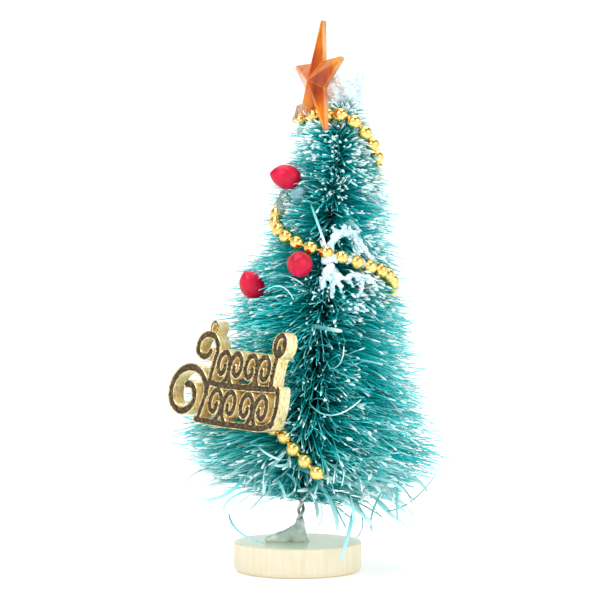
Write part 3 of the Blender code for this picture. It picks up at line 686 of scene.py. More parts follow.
def star_mesh():
    shape = bmesh.new()
    outline = star_outline()
    front = [shape.verts.new((p.x, -STAR_RIM / 2, p.y)) for p in outline]
    back = [shape.verts.new((p.x, STAR_RIM / 2, p.y)) for p in outline]
    front_peak = shape.verts.new((0.0, -STAR_THICKNESS / 2, 0.0))
    back_peak = shape.verts.new((0.0, STAR_THICKNESS / 2, 0.0))
    for i in range(len(outline)):
        j = (i + 1) % len(outline)
        # Shaded facets take the darker copy as painted shade. The backs behind them take the lighter copy.
        shaded = int(i in SHADED_FACETS)
        shape.faces.new((front[i], front[j], front_peak)).material_index = shaded
        shape.faces.new((back[j], back[i], back_peak)).material_index = 1 - shaded
        shape.faces.new((front[j], front[i], back[i], back[j])).material_index = 2
    bmesh.ops.recalc_face_normals(shape, faces=shape.faces)
    edges = [e for e in shape.edges if e.calc_face_angle(0.0) > radians(8)]
    bmesh.ops.bevel(shape, geom=edges, offset=STAR_EDGE, segments=2, profile=0.5, affect="EDGES")
    place = on_face(STAR_BEARING, STAR_DISTANCE, 0.0, STAR_HEIGHT)
    shape.transform(TRUNK @ Matrix.Translation(place) @ Matrix.Rotation(STAR_BEARING, 4, "Z"))
    return mesh_from(shape, "amber_star", smooth=False)


def amber_plastic(name, dark, middle, light):
    """Amber with clouds of three tones in it."""
    made = new_material(name, middle, 0.05, Transmission_Weight=0.4, IOR=1.45, Specular_IOR_Level=0.2)
    streaks = place_noise(made, 0.16, 4.0, stretch=(1.0, 1.0, 0.5))
    tinted(made, streaks, [(0.32, dark), (0.48, middle), (0.64, light)])
    roughened(made, place_noise(made, 0.5, 3.0), 0.03, 0.14)
    return made


# A lit and a shaded copy of one amber plastic, which paint light and shade onto the facets.
amber_lit_copy = amber_plastic("amber_lit_copy", (0.50, 0.09, 0.001), (0.74, 0.22, 0.002), (0.90, 0.40, 0.02))
amber_shaded_copy = amber_plastic("amber_shaded_copy", (0.22, 0.026, 0.0), (0.55, 0.09, 0.0), (0.80, 0.25, 0.004))
amber_rim = amber_plastic("amber_rim", (0.40, 0.16, 0.07), (0.62, 0.34, 0.15), (0.80, 0.55, 0.30))
star = new_piece("amber_star", star_mesh(), [amber_lit_copy, amber_shaded_copy, amber_rim], "star_amber", "star_topper")
star.visible_shadow = False  # clear plastic lets the light by, which a path tracer would stop
print("star", len(star.data.polygons), "faces")

# %% [markdown]
# ## The plaque
# A plated openwork of scrolls: bright rims run round a sunken face, and the deep side walls are
# pale gold. The sunken face is painted dark brown, a painted reflection of the dark that its
# mirror-like plating shows. All strokes are one moulding, so their rims must flow together where
# they cross. A distance field does that: every spot of a fine net knows how far it lies inside
# the nearest stroke, and that depth alone gives the outline, the rim and the sunken face.

# %% Plaque strokes
STROKE_HALF = 0.93 * MM
RING_HALF = 0.45 * MM
PLAQUE_SLANT = 0.12
ROW_CURL = ((2.8 * MM, 4.9 * MM), -70, 430, 0.28)
LOWER_ROW = ((-1.4 * MM, -6.9 * MM), 5.6 * MM, 4)
UPPER_ROW = ((-0.9 * MM, 3.3 * MM), 4.9 * MM, 4)
VOLUTE = ((-12.5 * MM, -5.4 * MM), (7.6 * MM, 8.2 * MM), 5, 450, 0.30)
CROOK = ((-8.0 * MM, 7.4 * MM), (4.5 * MM, 4.5 * MM), -30, 370, 0.42)
DROP = ((17.6 * MM, 10.4 * MM), (1.6 * MM, 2.6 * MM), -100, 360, 1.0)
HANGING_RING = ((-6.4 * MM, 12.9 * MM), (1.2 * MM, 1.62 * MM), -90, 360, 1.0)
PLAQUE_BARS = (  # (across, up) in millimetres
    ((-4.0, 5.6), (-4.5, 1.0), (-5.2, -5.0), (-6.6, -12.0)),
    ((-7.2, -11.8), (0.0, -12.0), (9.0, -11.8), (16.5, -11.5), (20.0, -9.8)),
    ((19.6, -10.6), (20.4, -6.0), (19.8, -1.0)),
    ((-4.6, -1.6), (0.0, -1.9), (9.0, -1.6), (18.4, -1.0)),
    ((17.2, -1.2), (17.0, 4.0), (17.6, 9.8)),
)


def curl(centre, reach, start, sweep, left, count=40):
    """A spiral stroke whose size falls to the share left at its inner end."""
    line = []
    for i in range(count):
        share = i / (count - 1)
        turn = radians(start + sweep * share)
        scale = 1 + (left - 1) * share
        line.append((centre[0] + reach[0] * scale * cos(turn), centre[1] + reach[1] * scale * sin(turn)))
    return line


def row_of_curls(row):
    """Curls side by side, every other one mirrored, so that each pair stands back to back."""
    (across, up), pitch, count = row
    reach, start, sweep, left = ROW_CURL
    curls = []
    for i in range(count):
        middle = (across + pitch * i, up)
        if i % 2:
            curls.append(curl(middle, reach, 180 - start, -sweep, left))
        else:
            curls.append(curl(middle, reach, start, sweep, left))
    return curls


def plaque_strokes():
    """(line, half width) of every stroke, with the slant put in."""
    strokes = [(line, STROKE_HALF) for line in row_of_curls(LOWER_ROW) + row_of_curls(UPPER_ROW)]
    strokes += [(curl(*VOLUTE, count=60), STROKE_HALF * 1.15), (curl(*CROOK), STROKE_HALF)]
    strokes += [(curl(*DROP), STROKE_HALF), (curl(*HANGING_RING), RING_HALF)]
    strokes += [(smooth_line([from_mm(place) for place in bar]), STROKE_HALF) for bar in PLAQUE_BARS]
    return [(np.array([(x + y * PLAQUE_SLANT, y) for x, y in line]), wide) for line, wide in strokes]


# %% Plaque mesh
NET = 0.15 * MM
RIM_IN = 0.14 * MM  # where the rim's crest starts
RIM_OUT = 0.24 * MM  # where it falls to the sunken face
RIM_FALL = 0.12 * MM  # how far the rim's outer edge lies below its crest
FACE_IN = 0.36 * MM  # where the sunken face starts
FACE_SUNK = 0.40 * MM


def depth_inside(xs, ys):
    """How far each spot of the net lies inside the nearest stroke, in metres."""
    spots = np.stack(np.meshgrid(xs, ys, indexing="ij"), -1)
    best = np.full(spots.shape[:2], -1.0)
    for line, wide in plaque_strokes():
        for a, b in zip(line, line[1:]):
            run = b - a
            share = np.clip(((spots - a) @ run) / (run @ run), 0, 1)
            away = np.linalg.norm(spots - a - share[..., None] * run, axis=-1)
            best = np.maximum(best, wide - away)
    return best


def face_height(inside):
    """The rim and the sunken face, from how far inside a stroke a spot lies."""
    insides = [0.0, RIM_IN, RIM_OUT, FACE_IN]
    heights = [PLAQUE_DEPTH - RIM_FALL, PLAQUE_DEPTH, PLAQUE_DEPTH, PLAQUE_DEPTH - FACE_SUNK]
    return float(np.interp(inside, insides, heights))


def plaque_mesh():
    """The strokes' joint outline, cut out of a fine net, with a front, a back and side walls."""
    xs = np.arange(-21.5 * MM, 23.5 * MM, NET)
    ys = np.arange(-14.5 * MM, 16.0 * MM, NET)
    inside = depth_inside(xs, ys)
    shape = bmesh.new()
    front, back = {}, {}

    def spot(a, b):
        """The key and place of a net corner (a == b) or of the outline's crossing between two."""
        if a == b:
            return (a, a), Vector((xs[a[0]], ys[a[1]])), inside[a]
        share = inside[a] / (inside[a] - inside[b])
        start, end = Vector((xs[a[0]], ys[a[1]])), Vector((xs[b[0]], ys[b[1]]))
        return (min(a, b), max(a, b)), start.lerp(end, share), 0.0

    def on_outline(found):
        return found[0][0] != found[0][1]

    def point(store, key, place, height):
        if key not in store:
            store[key] = shape.verts.new((place.x, place.y, height))
        return store[key]

    near = (inside[:-1, :-1] > 0) | (inside[1:, :-1] > 0) | (inside[1:, 1:] > 0) | (inside[:-1, 1:] > 0)
    for i, j in zip(*np.nonzero(near)):
        i, j = int(i), int(j)
        corners = [(i, j), (i + 1, j), (i + 1, j + 1), (i, j + 1)]
        loop = []
        for a, b in zip(corners, corners[1:] + corners[:1]):
            if inside[a] > 0:
                loop.append(spot(a, a))
            if (inside[a] > 0) != (inside[b] > 0):
                loop.append(spot(a, b))
        tops = [point(front, key, place, face_height(depth)) for key, place, depth in loop]
        lows = [point(back, key, place, 0.0) for key, place, depth in loop]
        middle = sum(depth for key, place, depth in loop) / len(loop)
        # Faces deep inside a stroke take the sunken face's painted dark reflection.
        shape.faces.new(tops).material_index = 2 if middle > (RIM_OUT + FACE_IN) / 2 else 0
        shape.faces.new(lows[::-1]).material_index = 1
        for k in range(len(loop)):
            n = (k + 1) % len(loop)
            if on_outline(loop[k]) and on_outline(loop[n]):
                shape.faces.new((tops[n], tops[k], lows[k], lows[n])).material_index = 1
    place = on_face(PLAQUE_BEARING, PLAQUE_BACK, PLAQUE_OFFSET, PLAQUE_HEIGHT)
    upright = Matrix.Rotation(PLAQUE_BEARING, 4, "Z") @ Matrix.Rotation(pi / 2, 4, "X")
    shape.transform(TRUNK @ Matrix.Translation(place) @ upright)
    bmesh.ops.recalc_face_normals(shape, faces=shape.faces)
    mesh = mesh_from(shape, "scroll_work")
    mesh.set_sharp_from_angle(angle=radians(38))
    return mesh


rim_gold = new_material("rim_gold", (0.72, 0.56, 0.26), 0.22, Metallic=1.0)
rim_wear = place_noise(rim_gold, 0.8, 4.0)
rim_tones = [(0.32, (0.42, 0.31, 0.12)), (0.55, (0.78, 0.62, 0.31)), (0.72, (0.93, 0.82, 0.55))]
tinted(rim_gold, rim_wear, rim_tones)
roughened(rim_gold, rim_wear, 0.15, 0.4)

wall_gold = new_material("wall_gold", (0.94, 0.80, 0.52), 0.3, Metallic=0.3)
wall_marks = place_noise(wall_gold, 1.6, 3.0, stretch=(1.0, 1.0, 0.4))
wall_tones = [(0.30, (0.62, 0.38, 0.07)), (0.46, (0.92, 0.70, 0.30)), (0.66, (1.0, 0.88, 0.62))]
tinted(wall_gold, wall_marks, wall_tones)
bumped(wall_gold, wall_marks, 0.12 * MM, 0.6)

# The sunken face's dark brown is a painted reflection of the dark that the mirror-like plating shows there.
sunk_painted_reflection = new_material("sunk_painted_reflection", (0.06, 0.042, 0.02), 0.55, Specular_IOR_Level=0.3)
sunk_mottle = place_noise(sunk_painted_reflection, 1.2, 5.0)
sunk_reflection_tones = [(0.35, (0.028, 0.018, 0.008)), (0.55, (0.075, 0.052, 0.024)), (0.75, (0.22, 0.16, 0.07))]
tinted(sunk_painted_reflection, sunk_mottle, sunk_reflection_tones)
bumped(sunk_painted_reflection, sunk_mottle, 0.12 * MM, 0.8)

finishes = [rim_gold, wall_gold, sunk_painted_reflection]
plaque = new_piece("scroll_work", plaque_mesh(), finishes, "plaque_gold", "scroll_plaque")
print("plaque", len(plaque.data.polygons), "faces")

# %% [markdown]
# ## Glue and snow
# Hot glue sets in soft rounded runs, and flock sticks to it in ragged lumps. Both start as
# balls along a few paths, which a voxel remesh melts into one skin. Noise then makes glue
# wavy and snow grainy. Snow also lets a little light in, so that its shaded side stays pale.

# %% Melted lumps
def front_point(across, up, out):
    """A point this far out of the cone's front, in the trunk's frame, from where it is seen."""
    world = Vector((across, 0.0, up - BASE_TOP))
    seen = Matrix.Rotation(-TRUNK_LEAN, 3, "Y") @ world
    reach = cone_radius(seen.z) + out
    return Vector((seen.x, -sqrt(max(0.0, reach**2 - seen.x**2)), seen.z))


def evaluated(holder):
    """The mesh of an object with its modifiers applied; the object is removed."""
    bpy.context.scene.collection.objects.link(holder)
    graph = bpy.context.evaluated_depsgraph_get()
    mesh = bpy.data.meshes.new_from_object(holder.evaluated_get(graph))
    bpy.data.objects.remove(holder)
    return mesh


def melted(name, balls, voxel, waves, floor_height=None):
    """Balls, as (centre in the trunk's frame, radius), melted together and made uneven.
    waves are (height, size) pairs. They and the voxel are in millimetres."""
    shape = bmesh.new()
    for centre, radius in balls:
        place = TRUNK @ Matrix.Translation(centre)
        bmesh.ops.create_icosphere(shape, subdivisions=2, radius=radius, matrix=place)
    holder = bpy.data.objects.new(name, mesh_from(shape, name))
    remesh = holder.modifiers.new("Melt", "REMESH")
    remesh.mode = "VOXEL"
    remesh.voxel_size = voxel * MM
    soften = holder.modifiers.new("Soften", "SMOOTH")
    soften.factor = 0.5
    soften.iterations = 3
    mesh = evaluated(holder)
    normals = [vertex.normal.copy() for vertex in mesh.vertices]
    for vertex, normal in zip(mesh.vertices, normals):
        shift = sum(noise.noise(vertex.co / (size * MM)) * (height * MM) for height, size in waves)
        vertex.co += normal * shift
        if floor_height is not None:
            vertex.co.z = max(vertex.co.z, floor_height)
    mesh.shade_smooth()
    mesh.name = name
    return mesh


def balls_along(points, radii, step):
    """Balls close together on a smooth line, with radii that change evenly."""
    line = smooth_line(points)
    whole = length_of(line)
    count = max(2, int(whole / step))
    shares = [i / (count - 1) for i in range(count)]
    places = along(line, [share * whole * 0.999 for share in shares])
    marks = [i / (len(radii) - 1) for i in range(len(radii))]
    return [(place, float(np.interp(share, marks, radii))) for place, share in zip(places, shares)]


def balls_on_runs(runs, place_of, step):
    """Balls along runs, each a row of spots and of the radii there. All is in millimetres."""
    balls = []
    for spots, radii in runs:
        balls += balls_along([place_of(spot) for spot in spots], [r * MM for r in radii], step * MM)
    return balls


def balls_round(middle, spots):
    """Balls at (across, back, up, radius) in millimetres from a place."""
    return [(middle + Vector(spot[:3]) * MM, spot[3] * MM) for spot in spots]


# %% Glue finishes
def set_glue(name, colour, roughness, mist, tones, spread, **plain):
    """Glue that is cloudier in some spots. mist counts the clouds per millimetre."""
    made = new_material(name, colour, roughness, **plain)
    cloud = place_noise(made, mist, 4.0)
    tinted(made, cloud, tones)
    roughened(made, cloud, *spread)
    return made


mound_tones = [(0.3, (0.55, 0.66, 0.56)), (0.48, (0.74, 0.82, 0.73)), (0.64, (0.97, 1.0, 0.94))]
drop_tones = [(0.35, (0.84, 0.87, 0.85)), (0.65, (0.98, 0.99, 0.98))]
blue_tones = [(0.3, (0.22, 0.50, 0.60)), (0.55, (0.42, 0.68, 0.76)), (0.75, (0.68, 0.85, 0.90))]
milky = {"Transmission_Weight": 0.25, "IOR": 1.4}
clear = {"Transmission_Weight": 0.88, "IOR": 1.4}
half_clear = {"Transmission_Weight": 0.45, "IOR": 1.45}
glue = set_glue("clear_glue", (0.84, 0.91, 0.84), 0.14, 0.45, mound_tones, (0.08, 0.3), **milky)
drop_glue = set_glue("drop_glue", (0.93, 0.95, 0.93), 0.06, 0.6, drop_tones, (0.02, 0.22), **clear)
blue_glue = set_glue("blue_glue", (0.40, 0.66, 0.74), 0.14, 0.4, blue_tones, (0.08, 0.3), **half_clear)
print("three kinds of glue")


# %% Glue lumps
MOUND_RUNS = (
    (((0, 0, 0.5), (0, -0.2, 2.4), (0.2, 0, 5.2)), (2.7, 2.0, 1.25)),  # up the wire
    (((-1.2, -1.2, 2.4), (-4, -2.2, 1.0), (-8.2, -2.6, -0.2)), (2.0, 1.7, 1.0)),  # out to the left
    (((0.5, -1, 1), (2.4, -1.6, -0.2)), (1.8, 1.0)),
    (((0, 1, 1), (0.8, 3.8, -0.2)), (2.0, 1.2)),
)
STAR_DAB = (
    (0, 0, 0, 2.0),
    (-0.4, -0.9, -1.2, 1.7),
    (0.6, 0.4, 1.5, 1.2),
    (-1.3, -0.4, -2.6, 1.3),
    (-0.2, -0.2, -4.0, 1.1),
)
BEAD_DAB = ((0, 0, 0, 1.9), (0.3, -0.6, 2.2, 1.4), (0.4, 0.2, -2.0, 1.3))
BERRY_DAB = ((0, 0, 0, 1.7), (0.9, -0.3, 0.6, 1.2), (-0.8, 0.2, -0.4, 1.2))
PAD_SPOTS = (  # (across, up, radius) on the plaque's back
    (-3.2, -2.6, 1.0),
    (-1.2, -1.0, 1.2),
    (0.8, -2.0, 1.2),
    (2.8, -1.2, 1.0),
    (0.6, 0.6, 1.0),
    (-1.0, -3.8, 1.0),
)


def over_bristles(bearing, share, out):
    """A place this far out of the cone, at a bearing and a share of its height."""
    height = height_at(share)
    return round_trunk(radians(bearing), height, cone_radius(height) + out * MM)


def plaque_pad():
    balls = []
    for across, up, radius in PAD_SPOTS:
        across, up = PLAQUE_OFFSET + across * MM, PLAQUE_HEIGHT + up * MM
        middle = on_face(PLAQUE_BEARING, PLAQUE_BACK + 0.1 * MM, across, up)
        balls.append((middle, radius * 1.45 * MM))
    return balls


mound_balls = balls_on_runs(MOUND_RUNS, from_mm, 0.4)
mound = melted("glue_mound", mound_balls, 0.3, ((0.35, 2.2), (0.08, 0.6)), BASE_TOP + 0.02 * MM)
new_piece("glue_mound", mound, [glue], "glue_clear", "base_glue")

star_foot = on_face(STAR_BEARING, STAR_DISTANCE + 1.8 * MM, -4.2 * MM, bead_between_legs() + 1.4 * MM)
star_dab = melted("star_dab", balls_round(star_foot, STAR_DAB), 0.22, ((0.3, 1.6), (0.05, 0.5)))
new_piece("star_dab", star_dab, [drop_glue], "glue_clear", "star_glue")

side = over_bristles(-74, 0.737, 1.0)
bead_dab = melted("bead_dab", balls_round(side, BEAD_DAB), 0.22, ((0.35, 1.4), (0.06, 0.5)))
new_piece("bead_dab", bead_dab, [drop_glue], "glue_clear", "garland_glue")

pin = over_bristles(-47, 0.762, 0.9)
berry_dab = melted("berry_dab", balls_round(pin, BERRY_DAB), 0.2, ((0.3, 1.3), (0.05, 0.5)))
new_piece("berry_dab", berry_dab, [blue_glue], "glue_blue", "berry_glue")

pad = melted("plaque_pad", plaque_pad(), 0.25, ((0.4, 1.8), (0.06, 0.5)))
new_piece("plaque_pad", pad, [blue_glue], "glue_blue", "plaque_glue")
print("five lumps of glue, the mound with", len(mound.polygons), "faces")

# %% Snow
light_within = {"Subsurface_Weight": 0.5, "Subsurface_Scale": 1.6 * MM, "Subsurface_Radius": (1.0, 1.0, 1.0)}
snow = new_material("snow_flock", (0.74, 0.84, 0.88), 0.85, **light_within)
snow_grain = place_noise(snow, 1.1, 5.0)
tinted(snow, snow_grain, [(0.28, (0.38, 0.64, 0.70)), (0.42, (0.62, 0.76, 0.82)), (0.60, (0.75, 0.83, 0.87))])
bumped(snow, snow_grain, 0.4 * MM, 0.8)

CAP_SPOTS = (  # (across, back, up, radius) in mm, in the trunk's frame
    (0.4, 0.0, 124.0, 4.0),
    (-2.4, 0.6, 125.4, 2.5),
    (3.0, -0.6, 125.6, 2.7),
    (2.8, 0.4, 122.4, 2.9),
    (-2.2, -1.2, 122.4, 2.6),
    (0.4, -1.2, 126.8, 2.2),
    (-1.6, 1.0, 127.2, 1.6),
    (3.6, 0.4, 127.6, 1.7),
    (-3.0, -0.4, 127.4, 1.5),
    (4.3, -0.8, 124.2, 1.8),
    (0.8, 2.6, 125.0, 2.5),
    (0.4, 3.0, 122.2, 2.0),
    (1.0, -3.0, 123.6, 2.1),
    (-1.2, -3.4, 125.6, 1.9),
    (-2.6, -2.8, 123.4, 1.7),
    (1.4, -3.2, 126.8, 1.6),
)
# Runs of flock as rows of (across, up) seen from the front, with the radii along each.
WEB_RUNS = (
    (((7.6, 84.6), (8.6, 88.0), (10.6, 91.2), (14.2, 91.4), (17.0, 88.6)), (1.3, 1.0, 1.1, 1.2, 0.9)),
    (((7.8, 84.6), (11.0, 84.9), (14.6, 84.4), (18.4, 83.4)), (1.3, 0.9, 1.1, 0.8)),
    (((15.6, 90.6), (16.0, 87.4), (15.4, 84.6)), (1.0, 0.7, 0.9)),
    (((10.8, 91.2), (9.4, 93.2)), (0.8, 0.5)),
    (((14.6, 91.4), (16.6, 92.6)), (0.8, 0.5)),
    (((12.6, 91.6), (12.4, 93.4)), (1.0, 0.6)),
    (((8.0, 86.6), (6.4, 89.4)), (1.0, 0.5)),
    (((17.4, 87.8), (18.8, 86.0), (19.6, 83.8)), (0.9, 0.9, 0.6)),
)
DRIP_RUNS = (
    (((8.6, 82.4), (7.2, 80.2), (6.4, 77.0)), (1.3, 0.9, 0.5)),
    (((8.8, 82.6), (10.4, 79.6), (11.6, 76.2)), (1.2, 0.9, 0.5)),
    (((7.6, 80.4), (9.2, 78.2), (9.0, 75.0)), (0.8, 0.8, 0.45)),
    (((10.2, 80.2), (13.0, 79.4), (14.8, 77.6)), (0.8, 0.7, 0.4)),
    (((12.6, 79.6), (15.2, 80.6), (18.6, 79.6), (21.0, 77.4)), (0.8, 0.9, 0.9, 0.5)),
    (((16.4, 80.2), (17.0, 77.4), (15.8, 74.6)), (0.8, 0.8, 0.45)),
)
FLOCK_OUT = 0.9 * MM  # of the runs over the cone


def on_front(spot):
    return front_point(spot[0] * MM, spot[1] * MM, FLOCK_OUT)


cap = melted("snow_tip", balls_round(Vector(), CAP_SPOTS), 0.22, ((0.7, 1.6), (0.35, 0.5)))
new_piece("snow_tip", cap, [snow], "snow_flock", "snow_cap")

web = melted("snow_web", balls_on_runs(WEB_RUNS, on_front, 0.35), 0.2, ((0.6, 1.4), (0.22, 0.5)))
new_piece("snow_web", web, [snow], "snow_flock", "flock_upper")

drips = melted("snow_drips", balls_on_runs(DRIP_RUNS, on_front, 0.35), 0.2, ((0.6, 1.3), (0.22, 0.5)))
new_piece("snow_drips", drips, [snow], "snow_flock", "flock_lower")
print("snow tip", len(cap.polygons), "web", len(web.polygons), "drips", len(drips.polygons), "faces")

# %% [markdown]
# ## The bristles
# A bottle brush is thousands of thin plastic hairs, clamped at the wire and trimmed to a cone.
# They come off in tufts, a little bent, pale at the end, and many tips carry a bead of white
# frost. Their colour darkens towards the wire, which is painted shade for the inside of the brush.
# Hair particles would not survive an export, so each bristle is a thin three-sided rod, and
# numpy works out all the rods at once. They are split into three meshes by height, which keeps
# each one to a size that is easy to handle.

# %% Bristle layout
BRISTLES = 10200
# The outline that the tips are trimmed to: its radius at each height.
OUTLINE_HEIGHT = np.array([10, 11.5, 14, 17, 21, 27, 38, 52, 66, 80, 93, 107, 117, 121, 123]) * MM
OUTLINE_RADIUS = np.array([4, 14, 23, 29.5, 33, 34, 30.6, 26.4, 23.3, 19.4, 16, 12.2, 9, 5.5, 2.5]) * MM
CLAMP_RADIUS = 0.8 * MM  # where the bristles leave the wires
CLUMP_BEARING = radians(34)  # the patch of bristles that is caked white, right of the flock
CLUMP_HEIGHT = 74 * MM
CLUMP_RADIUS = 8 * MM
CLUMP_ARC = 16 * MM  # length round the cone that one radian counts for there
SWEEP = radians(15)  # how far the bristles at the front are swept to one side or the other
SWEPT = radians(24)  # bearing at which that has mostly died away
LEG_BEARING = radians(-48)  # of a few longer bristles over the star's left foot
LEG_HEIGHT = 110.5 * MM
LEG_RADIUS = 3.4 * MM
LEG_ARC = 9 * MM  # as CLUMP_ARC
LEG_EXTRA = 2.6 * MM
TUFT_HEIGHT = 3.6 * MM
TUFTS_ROUND = 15
TUFT_TURN = 1.9  # radians from one level of tufts to the next
TUFT_DRAWS = 4096  # each tuft takes one of this many random rises, turns, lengths and tones
TUFT_PULL = 0.62  # how far a tip is drawn to the middle of its tuft
chance = np.random.default_rng(12)


def spread_by(heights, values):
    """A function of height through a few (height in mm, value) points."""
    return lambda h: np.interp(h, np.array(heights) * MM, values)


rise_middle = spread_by((10, 16, 30, 60, 100, 112, 121), (4, 3, -2, -5, -1, 4, 38))
rise_spread = spread_by((10, 16, 30, 60, 100, 121), (2.5, 4, 7, 6.5, 6, 14))


def bristle_roots(count):
    """Heights with more bristles where the cone is wide, and even bearings."""
    drawn = count * 4
    heights = chance.uniform(11.2 * MM, BRUSH_TOP, drawn)
    wide = np.interp(heights, OUTLINE_HEIGHT, OUTLINE_RADIUS)
    keep = chance.uniform(0, 1, drawn) < 0.30 + 0.70 * wide / OUTLINE_RADIUS.max()
    return heights[keep][:count], chance.uniform(-pi, pi, count)


def tuft_of(heights, bearings):
    """Which tuft each bristle belongs to, and the tuft's own bearing."""
    level = np.floor(heights / TUFT_HEIGHT).astype(int)
    turned = bearings + level * TUFT_TURN
    place = np.floor(turned / (2 * pi) * TUFTS_ROUND).astype(int)
    middle = (place + 0.5) / TUFTS_ROUND * 2 * pi - level * TUFT_TURN
    return (level * 97 + place) % TUFT_DRAWS, middle


def outwards_of(bearings):
    return np.stack([np.sin(bearings), -np.cos(bearings), np.zeros_like(bearings)], -1)


root_heights, root_bearings = bristle_roots(BRISTLES)
tufts, tuft_bearings = tuft_of(root_heights, root_bearings)
tuft_rise = chance.normal(0, 6.5, TUFT_DRAWS)[tufts]
tuft_turn = chance.normal(0, 0.12, TUFT_DRAWS)[tufts]
tuft_reach = chance.uniform(0.85, 1.06, TUFT_DRAWS)[tufts]
tuft_tone = chance.uniform(0, 1, TUFT_DRAWS)[tufts]

toward = (tuft_bearings - root_bearings + pi) % (2 * pi) - pi
tip_bearings = root_bearings + TUFT_PULL * toward + tuft_turn + chance.normal(0, 0.05, BRISTLES)
tip_bearings += SWEEP * chance.normal(0, 1, BRISTLES) * np.exp(-((root_bearings / SWEPT) ** 2))
rises = rise_middle(root_heights) + tuft_rise
rises = np.radians(rises + chance.normal(0, 1, BRISTLES) * rise_spread(root_heights))
outer = np.interp(root_heights, OUTLINE_HEIGHT, OUTLINE_RADIUS)
tip_heights = root_heights + outer * np.tan(rises)
outer = np.minimum(outer * 1.04, np.interp(tip_heights, OUTLINE_HEIGHT, OUTLINE_RADIUS))
reach = outer * tuft_reach * np.clip(chance.normal(0.97, 0.085, BRISTLES), 0.66, 1.12)
by_leg = np.hypot((tip_bearings - LEG_BEARING) * LEG_ARC, root_heights - LEG_HEIGHT) < LEG_RADIUS
reach += by_leg * LEG_EXTRA
roots = outwards_of(root_bearings) * CLAMP_RADIUS
roots[:, 2] = root_heights
tips = outwards_of(tip_bearings) * reach[:, None]
tips[:, 2] = root_heights + reach * np.tan(rises)
lengths = np.linalg.norm(tips - roots, axis=1)
print("bristles", BRISTLES, "mean length", round(float(lengths.mean() / MM), 1), "mm")


# %% Bristle paths, kept clear of what lies on them
STAR_CLEAR = 1.9 * MM  # each side of the star's middle plane
STAR_MARGIN = 0.6 * MM
BEAD_CLEAR = BEAD_RADIUS + 0.55 * MM
BERRY_CLEAR = 4.1 * MM

sideways = np.cross(tips - roots, (0, 0, 1.0))
sideways /= np.linalg.norm(sideways, axis=1)[:, None] + 1e-12
bends = chance.normal(0, 0.035, BRISTLES) * lengths
droops = np.abs(chance.normal(0.02, 0.03, BRISTLES)) * lengths


def bristle_points(shares):
    """Points at these shares of each bristle's length: shares is (bristles, points)."""
    t = shares[..., None]
    straight = roots[:, None] + (tips - roots)[:, None] * t
    bow = 4 * t * (1 - t)
    lifted = droops[:, None, None] * bow * np.array([0, 0, 1.0])
    return straight + lifted + (bends[:, None] * sideways)[:, None] * bow


def in_star(points):
    """Whether points are in the star's slab, inside its five-pointed outline. The far leg's
    foot doesn't count, because bristles lie over it."""
    out = points @ np.array(round_trunk(STAR_BEARING, 0.0, 1.0)) - STAR_DISTANCE
    across = points @ np.array((cos(STAR_BEARING), sin(STAR_BEARING), 0.0))
    up = points[..., 2] - STAR_HEIGHT
    fifth = 2 * pi / 5
    from_tip = np.abs((np.arctan2(across, up) + fifth / 2) % fifth - fifth / 2) / (fifth / 2)
    edge = STAR_NOTCH_RADIUS + (STAR_RADIUS - STAR_NOTCH_RADIUS) * (1 - from_tip) ** 1.6
    buried = (across < 0) & (points[..., 2] < bead_between_legs() - BEAD_RADIUS)
    return (np.abs(out) < STAR_CLEAR) & (np.hypot(across, up) < edge + STAR_MARGIN) & ~buried


def is_taken(points):
    """Whether points are where a bead, a berry, the plaque or the star is."""
    taken = np.zeros(points.shape[:-1], bool)
    for centre in bead_places:
        taken |= np.linalg.norm(points - np.array(centre), axis=-1) < BEAD_CLEAR
    for centre in berry_places:
        taken |= np.linalg.norm(points - np.array(centre), axis=-1) < BERRY_CLEAR
    out = points @ np.array(round_trunk(PLAQUE_BEARING, 0.0, 1.0))
    across = points @ np.array((cos(PLAQUE_BEARING), sin(PLAQUE_BEARING), 0.0)) - PLAQUE_OFFSET
    up = points[..., 2] - PLAQUE_HEIGHT
    on_plaque = (np.abs(across) < PLAQUE_HALF_WIDTH) & (np.abs(up) < PLAQUE_HALF_HEIGHT - 1 * MM)
    taken |= on_plaque & (out > PLAQUE_BACK - 0.4 * MM)
    return taken | in_star(points)


samples = np.linspace(0.2, 1.0, 25)
blocked = is_taken(bristle_points(np.tile(samples, (BRISTLES, 1))))
first = np.where(blocked.any(1), samples[blocked.argmax(1)] - 0.033, 1.0)
ends = np.maximum(first, 0.15)
print("bristles pressed short:", int((ends < 1).sum()))


